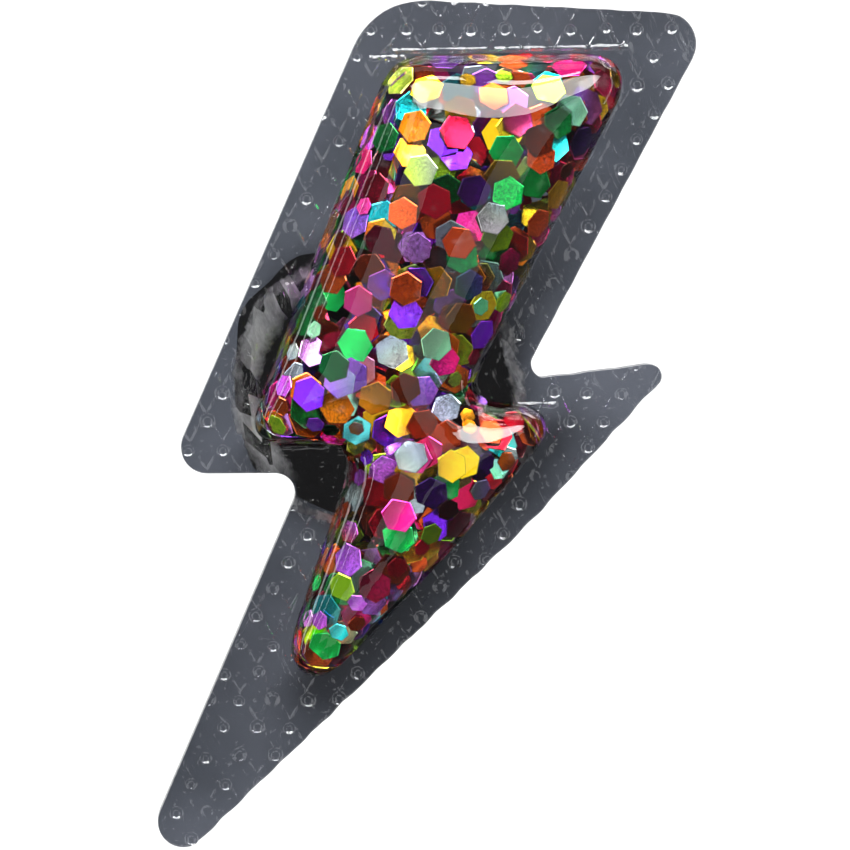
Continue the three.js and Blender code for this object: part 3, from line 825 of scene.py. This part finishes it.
def divided(points, step):
    """The same closed line with its long sides divided."""
    made = []
    for p, q in zip(points, points[1:] + points[:1]):
        count = max(1, round(float(np.linalg.norm(q - p)) / step))
        made += [p + (q - p) * k / count for k in range(count)]
    return made


def lofted(name, rings, closed):
    """A body through rings of points in millimetres. A ring of one point ends it in a tip."""
    vertices, starts = [], []
    for ring in rings:
        starts.append(len(vertices))
        vertices += [Vector(p) * MM for p in ring]
    faces = []
    pairs = list(zip(range(len(rings)), range(1, len(rings)))) + ([(len(rings) - 1, 0)] if closed else [])
    for a, b in pairs:
        count = max(len(rings[a]), len(rings[b]))
        for k in range(count):
            corners = [
                starts[a] + k % len(rings[a]), starts[a] + (k + 1) % len(rings[a]),
                starts[b] + (k + 1) % len(rings[b]), starts[b] + k % len(rings[b]),
            ]
            faces.append(tuple(dict.fromkeys(corners)))
    if not closed:
        for start, ring in ((starts[0], rings[0]), (starts[-1], rings[-1])):
            if len(ring) > 1:
                faces.append(tuple(range(start, start + len(ring))))
    made = new_object(name, vertices, faces)
    tidy = bmesh.new()
    tidy.from_mesh(made.data)
    bmesh.ops.recalc_face_normals(tidy, faces=tidy.faces)
    tidy.to_mesh(made.data)
    tidy.free()
    return made


def turned(name, profile, steps, push=None):
    """A body turned about the post's axis, from a closed profile of (out, along)."""
    rings = []
    for out, along in profile:
        turns = [0.0] if out < 1e-6 else np.arange(steps) * 2 * np.pi / steps
        ring = [(out * math.cos(a), along, out * math.sin(a)) for a in turns]
        if push is not None:
            ring = [(x, y + push(x, z), z) for x, y, z in ring]
        rings.append(ring)
    return lofted(name, rings, closed=profile[0][0] > 1e-6)


def make_pad():
    bore, recess = POST_RADIUS + 0.05, HEAD_RADIUS + 0.05
    shelf = -PAD_THICKNESS + HEAD_THICKNESS + 0.04
    profile = rounded([
        (bore, 0, 0.08), (bore, shelf, 0), (recess, shelf, 0), (recess, -PAD_THICKNESS, 0),
        (PAD_RADIUS, -PAD_THICKNESS, 0.1), (PAD_RADIUS, 0, 0.35),
        (PAD_RADIUS - 0.9, 0, 0.1), (PAD_RADIUS - 1.0, -0.06, 0.1),
    ])
    return smooth(turned("moulded_pad", divided(profile, 0.6), 96), 40)


def make_post():
    neck = POST_RADIUS - 0.14
    front, shelf = -PAD_THICKNESS, -PAD_THICKNESS + HEAD_THICKNESS
    line = [
        (0, front), (HEAD_RADIUS - 0.1, front), (HEAD_RADIUS, front + 0.1),
        (HEAD_RADIUS, shelf - 0.06), (HEAD_RADIUS - 0.06, shelf), (POST_RADIUS, shelf),
        (POST_RADIUS, 3.0), (POST_RADIUS, 6.95),
        (POST_RADIUS - 0.03, 7.02), (neck + 0.02, 7.12), (neck, 7.18), (neck, 7.42), (neck + 0.02, 7.48),
        (POST_RADIUS - 0.03, 7.58), (POST_RADIUS, 7.65), (POST_RADIUS, 8.05), (POST_RADIUS * 0.94, 8.3),
        (POST_RADIUS * 0.75, 8.65), (POST_RADIUS * 0.48, 8.97), (POST_RADIUS * 0.22, 9.14), (0, POST_END),
    ]
    return smooth(turned("post", line, 48), 40)


def dimple(x, z):
    """How far the plate is pressed towards the cloth."""
    pressed = 0.0
    for i in range(DIMPLES):
        angle = (i + 0.5) * 2 * math.pi / DIMPLES
        away = math.hypot(x - DIMPLE_CIRCLE * math.cos(angle), z - DIMPLE_CIRCLE * math.sin(angle))
        share = min(1.0, away / DIMPLE_RADIUS)
        pressed -= DIMPLE_DEPTH * 0.5 * (1 + math.cos(math.pi * share))
    return pressed


def make_plate():
    inner = PLATE_RADIUS - PLATE_THICKNESS
    floor = PLATE_START + PLATE_THICKNESS
    profile = rounded([
        (PLATE_HOLE, PLATE_START, 0.08), (PLATE_RADIUS, PLATE_START, 0.5), (PLATE_RADIUS, RIM_END, 0.16),
        (inner, RIM_END, 0.16), (inner, floor, 0.2), (PLATE_HOLE, floor, 0.08),
    ])
    return smooth(turned("dished_plate", divided(profile, 0.14), 132, dimple), 50)


def curve_points(knots, per_span=10):
    """Points on a Catmull-Rom curve through the knots, closer together towards its end."""
    knots = [np.array(k) for k in knots]
    made = []
    for i in range(len(knots) - 1):
        a, b, c, d = (knots[min(max(j, 0), len(knots) - 1)] for j in (i - 1, i, i + 1, i + 2))
        steps = per_span * (3 if i == len(knots) - 2 else 1)
        for k in range(steps + (i == len(knots) - 2)):
            t = k / steps
            if i == len(knots) - 2:
                t = math.sin(t * math.pi / 2)
            made.append(0.5 * (2 * b + (c - a) * t + (2 * a - 5 * b + 4 * c - d) * t * t
                               + (3 * b - a - 3 * c + d) * t ** 3))
    return made


def wing_half_width(out):
    """Half the width of a wing, seen along the post."""
    if out <= WING_FLARE[0]:
        return WING_ROOT
    if out < WING_FLARE[1]:
        share = (out - WING_FLARE[0]) / (WING_FLARE[1] - WING_FLARE[0])
        return WING_ROOT + (WING_EAR - WING_ROOT) * math.sin(share * math.pi / 2)
    middle = WING_LINE[-1][0] - WING_EAR
    return min(WING_EAR, math.sqrt(max(0.0, WING_EAR ** 2 - max(0.0, out - middle) ** 2)))


def make_wing(name, side):
    line = curve_points(WING_LINE)
    thick = WING_THICKNESS / 2
    rings = []
    for i, (out, along) in enumerate(line):
        ahead = line[min(i + 1, len(line) - 1)] - line[max(i - 1, 0)]
        ahead = ahead / np.linalg.norm(ahead)
        across = np.array([-ahead[1], ahead[0]])
        half = max(1.1 * thick, wing_half_width(out))
        ring = []
        for turn in np.radians(np.concatenate([np.arange(-90, 91, 22.5), np.arange(90, 271, 22.5)])):
            flat = (half - thick) * (1 if len(ring) < 9 else -1) + thick * math.cos(turn)
            spot = line[i] + across * thick * math.sin(turn)
            ring.append((side * spot[0], WING_START + spot[1], side * flat))
        rings.append(ring)
    return smooth(lofted(name, rings, closed=False), 50)


def make_spring():
    """A wire hairpin that grips the post."""
    route = [(-SPRING_HALF, z) for z in np.linspace(-SPRING_LEG, SPRING_LEG, 12)]
    route += [
        (-SPRING_HALF * math.cos(a), SPRING_LEG + SPRING_HALF * math.sin(a))
        for a in np.linspace(0, math.pi, 21)[1:-1]
    ]
    route += [(SPRING_HALF, z) for z in np.linspace(SPRING_LEG, -SPRING_LEG, 12)]
    route = [np.array(p) for p in route]
    rings = []
    for i, (x, z) in enumerate(route):
        ahead = route[min(i + 1, len(route) - 1)] - route[max(i - 1, 0)]
        ahead = ahead / np.linalg.norm(ahead)
        rings.append([
            (x - ahead[1] * SPRING_WIRE * math.cos(a), SPRING_HEIGHT + SPRING_WIRE * math.sin(a),
             z + ahead[0] * SPRING_WIRE * math.cos(a))
            for a in np.arange(16) * math.pi / 8
        ])
    return smooth(lofted("hairpin_spring", rings, closed=False), 50)


def make_glue():
    """The glue behind the badge: thick round the pad, and thin and wavy at its edge."""
    outline = anticlockwise(flat_front("pad_glue")[1][0])
    low, high = depth_range("pad_glue")
    edge = resampled(outline, 0.2)
    middle = edge.mean(axis=0)
    shares = (0.985, 0.96, 0.93, 0.89, 0.85, 0.8, 0.72, 0.5, 0.2)
    inner = [middle + (edge - middle) * share for share in shares]
    flat, triangles = triangulated(edge, thinned(np.vstack(inner), 0.12))
    inside = signed_distance(edge, flat)
    rough = unevenness(flat, 0.9, 4.4)
    share = 0.25 + 0.75 * np.sqrt(np.clip(inside / 1.2, 0, 1)) + 0.2 * rough
    thick = (high - low) * np.clip(share, 0.15, 1.0)
    thick = np.where(np.hypot(*flat.T) < PAD_RADIUS, high - low, thick)
    return smooth(sheet_object("glue_spread", flat, triangles, np.full(len(flat), high), high - thick), 50)


# ---------------------------------------------------------------- material helpers
def grey(level):
    return (level, level, level)


class Nodes:
    """Short ways to add and join the nodes of one material or world."""

    def __init__(self, owner):
        owner.use_nodes = True
        self.owner = owner
        self.tree = owner.node_tree
        self.tree.nodes.clear()

    def feed(self, value, socket):
        """Puts a number, a colour or another node's output into a socket."""
        if isinstance(value, bpy.types.NodeSocket):
            self.tree.links.new(value, socket)
        elif socket.type == "RGBA":
            socket.default_value = (*value, 1)
        else:
            socket.default_value = value

    def add(self, kind, **values):
        """A node with its settings and inputs, each named with _ for a space."""
        node = self.tree.nodes.new("ShaderNode" + kind)
        for key, value in values.items():
            if hasattr(node, key):
                setattr(node, key, value)
            else:
                self.feed(value, node.inputs[key.replace("_", " ")])
        return node

    def filled(self, node, places, values):
        for place, value in zip(places, values):
            self.feed(value, node.inputs[place])
        return node

    def shader(self, kind, **values):
        return self.add("Bsdf" + kind, **values).outputs[0]

    def coordinates(self, scale=(1, 1, 1), turn=None):
        """Object coordinates, stretched along the axes or along turned ones."""
        place = self.add("TexCoord").outputs["Object"]
        if turn is None:
            mapping = self.add("Mapping", vector_type="POINT", Scale=scale, Vector=place)
        else:
            shrunk = tuple(1 / a for a in scale)
            mapping = self.add("Mapping", vector_type="TEXTURE", Rotation=turn, Scale=shrunk, Vector=place)
        return mapping.outputs["Vector"]

    def axes(self):
        """The object coordinates one by one, as outputs X, Y and Z."""
        return self.add("SeparateXYZ", Vector=self.add("TexCoord").outputs["Object"]).outputs

    def noise(self, vector, scale, detail=3.0, roughness=0.5, distortion=0.0):
        return self.add(
            "TexNoise", Vector=vector, Scale=scale, Detail=detail, Roughness=roughness,
            Distortion=distortion,
        ).outputs["Fac"]

    def ramp(self, factor, *stops):
        node = self.add("ValToRGB", Fac=factor)
        elements = node.color_ramp.elements
        while len(elements) < len(stops):
            elements.new(0.5)
        for element, (place, colour) in zip(elements, stops):
            element.position = place
            element.color = (*colour, 1)
        return node.outputs["Color"]

    def span(self, factor, low, high, from_low=0.0, from_high=1.0):
        """Low to high as the factor goes from from_low to from_high, and no farther."""
        return self.add(
            "MapRange", Value=factor, From_Min=from_low, From_Max=from_high, To_Min=low, To_Max=high,
        ).outputs["Result"]

    def band(self, factor, rise, fall):
        """1 between two soft edges and 0 outside them."""
        return self.product(self.span(factor, 0, 1, *rise), self.span(factor, 1, 0, *fall))

    def bump(self, height, strength, distance):
        return self.add("Bump", Strength=strength, Distance=distance, Height=height).outputs["Normal"]

    def maths(self, operation, *values):
        return self.filled(self.add("Math", operation=operation), range(3), values).outputs["Value"]

    def product(self, first, *others):
        for other in others:
            first = self.maths("MULTIPLY", first, other)
        return first

    def mix(self, factor, first, second):
        return self.filled(self.add("MixShader"), range(3), (factor, first, second)).outputs[0]

    def mix_colour(self, factor, first, second, blend="MIX"):
        node = self.add("Mix", data_type="RGBA", blend_type=blend)
        return self.filled(node, (0, 6, 7), (factor, first, second)).outputs[2]

    def tinted(self, first, second):
        return self.mix_colour(1.0, first, second, "MULTIPLY")

    def clouded(self, colour, scale, least, most):
        """A colour that drifts between two strengths of itself."""
        base = np.array(colour)
        patches = self.noise(self.coordinates(), scale, 4, 0.6)
        return self.ramp(patches, (0.3, tuple(base * least)), (0.7, tuple(base * most)))

    def output(self, shader, kind="OutputMaterial"):
        """Ends the tree with a shader and hands back what it belongs to."""
        self.add(kind, Surface=shader)
        return self.owner


def material_nodes(name):
    return Nodes(bpy.data.materials.new(name))


# ---------------------------------------------------------------- materials
def foil_shader(n, tone):
    """Metallised film: fine speckle, a faint rainbow, light scuffs and an uneven gloss over its tone."""
    where = n.coordinates()
    rainbow = n.ramp(
        n.noise(where, 260, 1, 0.4),
        (0.3, (0.9, 0.35, 1.0)), (0.43, (0.35, 0.6, 1.0)), (0.52, (0.5, 1.0, 0.6)),
        (0.6, (1.0, 0.9, 0.35)), (0.7, (1.0, 0.45, 0.4)),
    )
    colour = n.mix_colour(0.25, tone, n.tinted(tone, rainbow))
    speckle = n.ramp(n.noise(where, 7000, 2, 0.8), (0.35, grey(0.62)), (0.68, grey(1.5)))
    speckled = n.tinted(colour, speckle)
    colour = n.mix_colour(n.span(n.noise(where, 420, 1, 0.5), 0.15, 1.0, 0.45, 0.62), colour, speckled)
    worn = n.span(n.noise(where, 900, 2, 0.6), 0.0, 0.12, 0.6, 0.8)
    scuffs = n.noise(n.coordinates((1, 1, 0.2), (0, 0.5, 0)), 5000, 2, 0.6)
    height = n.maths("ADD", n.noise(where, 500, 2, 0.5), n.product(scuffs, 0.12))
    return n.shader(
        "Principled", Metallic=0.93, Base_Color=n.mix_colour(worn, colour, (0.9, 0.9, 0.88)),
        Roughness=n.span(n.noise(where, 1400, 3, 0.6), 0.1, 0.27), Normal=n.bump(height, 0.14, 0.00004),
    )


def glitter_material(slot):
    """Foil in each flake's own tone, which the mesh carries."""
    n = material_nodes("glitter_" + slot)
    return n.output(foil_shader(n, n.add("Attribute", attribute_name="tone").outputs["Color"]))


def cad_flake_material(name, slot, rng):
    """Foil on a flake that the CAD holds, shaded from one side to the other."""
    n = material_nodes(name)
    one, two = shade(rng, slot)
    low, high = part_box(name)
    share = n.span(n.axes()["X"], 0.0, 1.0, low.x, high.x)
    return n.output(foil_shader(n, n.ramp(share, (0.25, tuple(one)), (0.75, tuple(two)))))


def blister_material():
    """Clear vinyl that bends light as one body with the gel behind it, and lets lamps through."""
    n = material_nodes("blister_vinyl")
    glass = n.shader(
        "Glass", IOR=1.46, Roughness=0.0, Color=(0.98, 0.985, 0.99),
        Normal=n.bump(n.noise(n.coordinates(), 180, 3, 0.55), 0.05, 0.0002),
    )
    shadow = n.shader("Transparent", Color=(0.96, 0.96, 0.97))
    return n.output(n.mix(n.add("LightPath").outputs["Is Shadow Ray"], glass, shadow))


def smear_mask(n):
    """1 where the glue has crinkled the films on the left, and the ragged distance from the post."""
    place = n.axes()
    x, z = place["X"], place["Z"]
    away = n.maths("SQRT", n.maths("ADD", n.product(x, x), n.product(z, z)))
    ragged = n.maths("ADD", away, n.span(n.noise(n.coordinates(), 420, 4, 0.65), -0.0009, 0.0009))
    ring = n.band(ragged, *SMEAR_EDGES)
    left = n.product(n.span(x, 1, 0, *SMEAR_RIGHT), n.span(z, 0, 1, *SMEAR_BOTTOM))
    return n.product(ring, left), ragged


def chevrons(n):
    """1 along the V-shaped marks that the embossing leaves above its pits, and 0 off them."""
    low = flange_loop.min(axis=0)
    place = n.axes()
    row = n.maths("MULTIPLY_ADD", place["Z"], 1 / (PIT_DOWN * MM), -(low[1] + PIT_START) / PIT_DOWN)
    column = n.maths("MULTIPLY_ADD", place["X"], 1 / (PIT_ACROSS * MM), 0.5 - low[0] / PIT_ACROSS)
    shifted = n.maths("MULTIPLY_ADD", n.maths("MODULO", n.maths("FLOOR", row), 2.0), 0.5, column)
    beside = n.maths("ABSOLUTE", n.maths("SUBTRACT", n.maths("FRACT", shifted), 0.5))
    above = n.maths("SUBTRACT", n.maths("FRACT", row), n.maths("MULTIPLY_ADD", beside, 2.1, 0.3))
    return n.product(
        n.span(n.maths("ABSOLUTE", above), 1, 0, 0.0, 0.1),
        n.span(beside, 1, 0, 0.19, 0.24),
        n.span(smear_mask(n)[1], 0, 1, 0.0072, 0.0085),
        n.span(n.noise(n.coordinates(), 420, 2, 0.6), 0.0, 1.0, 0.38, 0.6),
    )


def border_material():
    """Thin clear vinyl with a gloss on it, for the border: scratched, dusty and crinkled by the glue."""
    n = material_nodes("border_vinyl")
    where = n.coordinates()
    tint = n.ramp(n.noise(where, 200, 2), (0.3, (0.955, 0.96, 0.97)), (0.7, (0.98, 0.985, 0.99)))
    scratches = n.noise(n.coordinates((1, 1, 0.2), (0, -0.45, 0)), 1500, 3, 0.65, 0.8)
    specks = n.span(n.noise(where, 3200, 1, 0.5), 0.0, 1.0, 0.68, 0.78)
    fine_height = n.maths("ADD", scratches, n.product(specks, 0.5))
    folds = n.noise(n.coordinates((1, 1, 0.5)), 1100, 3, 0.6, 1.0)
    crinkle = n.product(
        n.maths("ABSOLUTE", n.maths("SUBTRACT", folds, 0.5)), n.product(smear_mask(n)[0], 10.0),
    )
    pressed = n.maths("ADD", crinkle, n.product(chevrons(n), 2.2))
    normal = n.bump(n.maths("ADD", fine_height, pressed), 1.0, 0.00003)
    rough = n.span(n.noise(where, 320, 3, 0.6), BORDER_GLOSS * 0.6, BORDER_GLOSS * 1.7)
    return n.output(n.mix(
        n.add("Fresnel", IOR=BOTH_FACES_IOR, Normal=normal).outputs[0],
        n.shader("Transparent", Color=tint),
        n.shader("Glossy", Color=grey(1), Roughness=rough, Normal=normal),
    ))


def unseen_material(name, least, most):
    """A barely tinted face that shows nothing, where the gel wets the film."""
    n = material_nodes(name)
    tint = n.ramp(n.noise(n.coordinates(), 90, 2), (0.3, least), (0.7, most))
    return n.output(n.shader("Transparent", Color=tint))


def backing_material(name, glue_side):
    """Smoke-tinted vinyl: it lets a little light through, and is crazed white where glue has spoilt it."""
    n = material_nodes(name)
    where = n.coordinates()
    cloud = n.noise(where, 110, 4, 0.6)
    tint = n.ramp(cloud, (0.35, (0.35, 0.37, 0.41)), (0.65, (0.46, 0.48, 0.53)))
    # This attribute darkens the film with painted shade beside the blister, and where glue lies behind
    smoke = n.add("Attribute", attribute_name="smoke").outputs["Color"]
    clear = n.shader("Transparent", Color=n.tinted(tint, smoke))
    body = n.shader(
        "Principled", Roughness=0.5, Specular_IOR_Level=0.15,
        Base_Color=n.ramp(cloud, (0.3, (0.012, 0.012, 0.013)), (0.7, (0.018, 0.018, 0.02))),
        Normal=n.bump(n.noise(where, 900, 3, 0.6), 0.25, 0.00005),
    )
    film = n.mix(0.3, clear, body)
    if glue_side:
        return n.output(film)

    # The glue's edge: a smear of pale shards on the left, and a thin pale rim all round.
    smear, ragged = smear_mask(n)
    slanted = n.coordinates((1.0, 1, 0.35), (0, -0.4, 0))
    cells = n.add("TexVoronoi", Scale=1500, Vector=slanted)
    lot = n.add("RGBToBW", Color=cells.outputs["Color"]).outputs["Val"]
    shards = n.product(smear, n.span(lot, 0, 1, 0.45, 0.48))
    rim = n.product(n.band(ragged, *RIM_EDGES), n.span(n.noise(where, 700, 3, 0.7), 0.3, 0.8, 0.4, 0.6))
    fibres = n.ramp(n.noise(slanted, 1400, 3, 0.7), (0.35, (0.5, 0.5, 0.51)), (0.6, grey(1)))
    paleness = n.ramp(lot, (0.42, (0.3, 0.3, 0.31)), (0.65, grey(1)))
    white = n.shader("Principled", Base_Color=n.tinted(fibres, paleness), Roughness=0.35)
    return n.output(n.mix(n.maths("MAXIMUM", shards, rim), film, white))


def solid_material(name, colour, roughness, grain, bump):
    """Plastic with cloudy colour, uneven gloss and a fine grain."""
    n = material_nodes(name)
    where = n.coordinates()
    return n.output(n.shader(
        "Principled", Base_Color=n.clouded(colour, 160, 0.82, 1.12),
        Roughness=n.span(n.noise(where, 420, 3, 0.6), roughness * 0.7, roughness * 1.35),
        Normal=n.bump(n.noise(where, grain * 2, 4, 0.6), bump, 0.00008),
    ))


def brushed_material(name, colour, roughness, stretch):
    """Metal with fine drawn lines along one axis."""
    n = material_nodes(name)
    lines = n.noise(n.coordinates(stretch), 900, 4, 0.65)
    return n.output(n.shader(
        "Principled", Metallic=1.0, Base_Color=n.clouded(colour, 240, 0.78, 1.08),
        Roughness=n.span(lines, roughness * 0.6, roughness * 1.6), Normal=n.bump(lines, 0.12, 0.00004),
    ))


# ---------------------------------------------------------------- stage, lights and camera
BACKDROP_SPOT = Vector((0, 0.75, 0.05))  # where the backdrop's own light points
VIEW_FROM = (-3.6, 4.0)  # the camera's azimuth and elevation, in degrees
CAMERA_DISTANCE = 0.2565
CAMERA_SHIFT = -0.00008  # sideways from the badge's middle, in metres
LIGHTS = {  # azimuth and elevation in degrees, distance, width and height in metres, radiance
    "overhead_bank": (0, 60, 0.48, (0.9, 0.36), 9.8),
    "front_left_card": (-30, 0, 0.6, (0.34, 0.5), 1.05),
    "front_right_card": (30, 0, 0.6, (0.34, 0.5), 0.9),
    "front_low_card": (0, -32, 0.6, (0.3, 0.25), 0.9),
    "left_corner_card": (-50, 48, 0.5, (0.2, 0.25), 8),
    "right_corner_card": (50, 48, 0.5, (0.2, 0.25), 7),
    "left_high_card": (-58, 28, 0.5, (0.08, 0.16), 1.5),
    "right_high_card": (60, 28, 0.5, (0.08, 0.16), 2),
    "spot_lamp": (18, 88, 0.5, (0.16, 0.05), 14),
    "left_strip": (-86, 6, 0.5, (0.012, 0.36), 5),
    "left_back_strip": (-101, 4, 0.5, (0.03, 0.4), 3.5),
    "left_edge_strip": (-118, 2, 0.5, (0.05, 0.36), 3),
    "right_strip": (106, 5, 0.5, (0.05, 0.4), 2),
    "rear_bank": (150, 35, 0.55, (0.3, 0.3), 7),
    "rear_card": (-140, 10, 0.5, (0.15, 0.4), 3),
    "backdrop_light": (180, 70, 0.75, (1.2, 0.3), 0.6),
}


def direction(azimuth, elevation):
    """Unit vector away from the badge. Azimuth 0 is in front, positive to the right."""
    a, e = math.radians(azimuth), math.radians(elevation)
    return Vector((math.sin(a) * math.cos(e), -math.cos(a) * math.cos(e), math.sin(e)))


def aimed_object(name, data, spot, facing):
    """A lamp or camera at a spot, looking in a direction."""
    made = bpy.data.objects.new(name, data)
    made.location = spot
    made.rotation_euler = facing.to_track_quat("-Z", "Y").to_euler()
    bpy.context.scene.collection.objects.link(made)
    return made


def make_lights():
    """Panels of even brightness that face the badge, and one that faces the backdrop."""
    for name, (azimuth, elevation, distance, size, radiance) in LIGHTS.items():
        away = direction(azimuth, elevation)
        spot = BADGE_MIDDLE + away * distance
        lamp = bpy.data.lights.new(name, "AREA")
        lamp.shape = "RECTANGLE"
        lamp.size, lamp.size_y = size
        lamp.energy = radiance * math.pi * size[0] * size[1]
        aimed_object(name, lamp, spot, BACKDROP_SPOT - spot if name == "backdrop_light" else -away)


def make_stage():
    """A pale floor that curves up into a backdrop."""
    floor, wall, radius, half_width = -0.05, 0.75, 0.25, 0.14
    section = [(0.11, floor), (wall - radius, floor)]
    for i in range(1, 13):
        turn = i / 12 * math.pi / 2
        section.append((wall - radius + radius * math.sin(turn), floor + radius - radius * math.cos(turn)))
    section.append((wall, 1.2))
    vertices = [(x, y, z) for x in (-half_width, half_width) for y, z in section]
    count = len(section)
    faces = [(i, i + 1, i + 1 + count, i + count) for i in range(count - 1)]
    stage = smooth(new_object("backdrop", vertices, faces), 60)
    n = material_nodes("backdrop_paper")
    paper = n.ramp(n.noise(n.coordinates(), 30, 3), (0.3, grey(0.46)), (0.7, grey(0.49)))
    farther = n.ramp(n.span(n.axes()["Y"], 0, 1, 0.2, 0.7), (0, grey(0.5)), (1, grey(1)))
    stage.data.materials.append(n.output(n.shader(
        "Principled", Base_Color=n.tinted(paper, farther), Roughness=0.9,
        Emission_Color=grey(1), Emission_Strength=0.55,
    )))


def make_world():
    """A pale background for the camera, and a dim one for everything that the light meets."""
    n = Nodes(bpy.data.worlds.new("studio"))
    felt = n.add("Background", Color=(0.12, 0.12, 0.125)).outputs[0]
    seen = n.add("Background", Color=grey(0.93)).outputs[0]
    mixed = n.mix(n.add("LightPath").outputs["Is Camera Ray"], felt, seen)
    bpy.context.scene.world = n.output(mixed, "OutputWorld")


def make_camera():
    """Nearly face on, a little from the left and from above."""
    low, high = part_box("back_film")
    target = Vector(((low.x + high.x) / 2 + CAMERA_SHIFT, -flange_front * MM, (low.z + high.z) / 2))
    back = direction(*VIEW_FROM)
    data = bpy.data.cameras.new("camera")
    data.lens = 200
    data.clip_start, data.clip_end = 0.01, 20
    bpy.context.scene.camera = aimed_object("camera", data, target + back * CAMERA_DISTANCE, -back)


# ---------------------------------------------------------------- putting it together
make_camera()
make_stage()
make_world()
make_lights()

film, backing = make_films()
inside = unseen_material("vinyl_inside", grey(0.98), grey(1))
for material in (blister_material(), border_material(), inside):
    film.data.materials.append(material)
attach(film, "badge")
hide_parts("front_film")

for name, glue_side in (("smoke_vinyl", False), ("smoke_vinyl_back", True)):
    backing.data.materials.append(backing_material(name, glue_side))
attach(backing, "badge")
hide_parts("back_film")

gel = make_gel()
gel.data.materials.append(unseen_material("clear_gel", (0.97, 0.96, 0.97), (0.99, 0.985, 0.99)))
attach(gel, "badge")
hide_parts("gel_fill")

for slot, piece in make_glitter().items():
    piece.data.materials.append(glitter_material(slot))
    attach(piece, "badge")

flake_rng = random.Random(SEED + 1)
for name, node in sorted(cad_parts.items()):
    if name.startswith("flake_"):
        node.data.materials.clear()
        node.data.materials.append(cad_flake_material(name, name.split("_")[2], flake_rng))

black_glue = solid_material("black_glue", (0.034, 0.032, 0.034), 0.3, 300, 0.3)
moulding = solid_material("black_moulding", (0.02, 0.019, 0.021), 0.45, 900, 0.35)
steel = brushed_material("drawn_steel", (0.62, 0.62, 0.63), 0.28, (1, 0.06, 1))
brass = brushed_material("stamped_brass", (0.72, 0.5, 0.2), 0.24, (1, 1, 0.1))
wire = brushed_material("spring_wire", (0.6, 0.6, 0.61), 0.25, (1, 1, 0.06))
for piece, node, body, slot, material in (
    (make_glue(), "pad_glue", "badge", "glue", black_glue),
    (make_pad(), "pin_pad", "badge", "black_plastic", moulding),
    (make_post(), "pin_post", "badge", "steel", steel),
    (make_plate(), "clutch_plate", "clutch", "brass", brass),
    (make_wing("wing_of_left_hand", -1), "clutch_wing_left", "wing_left", "brass", brass),
    (make_wing("wing_of_right_hand", 1), "clutch_wing_right", "wing_right", "brass", brass),
    (make_spring(), "clutch_spring", "clutch", "steel", wire),
):
    piece.data.materials.append(material)
    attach(piece, body)
    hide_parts(node)

scene = bpy.context.scene
scene.view_settings.view_transform = "Standard"
scene.cycles.transparent_max_bounces = 24
scene.cycles.transmission_bounces = 16
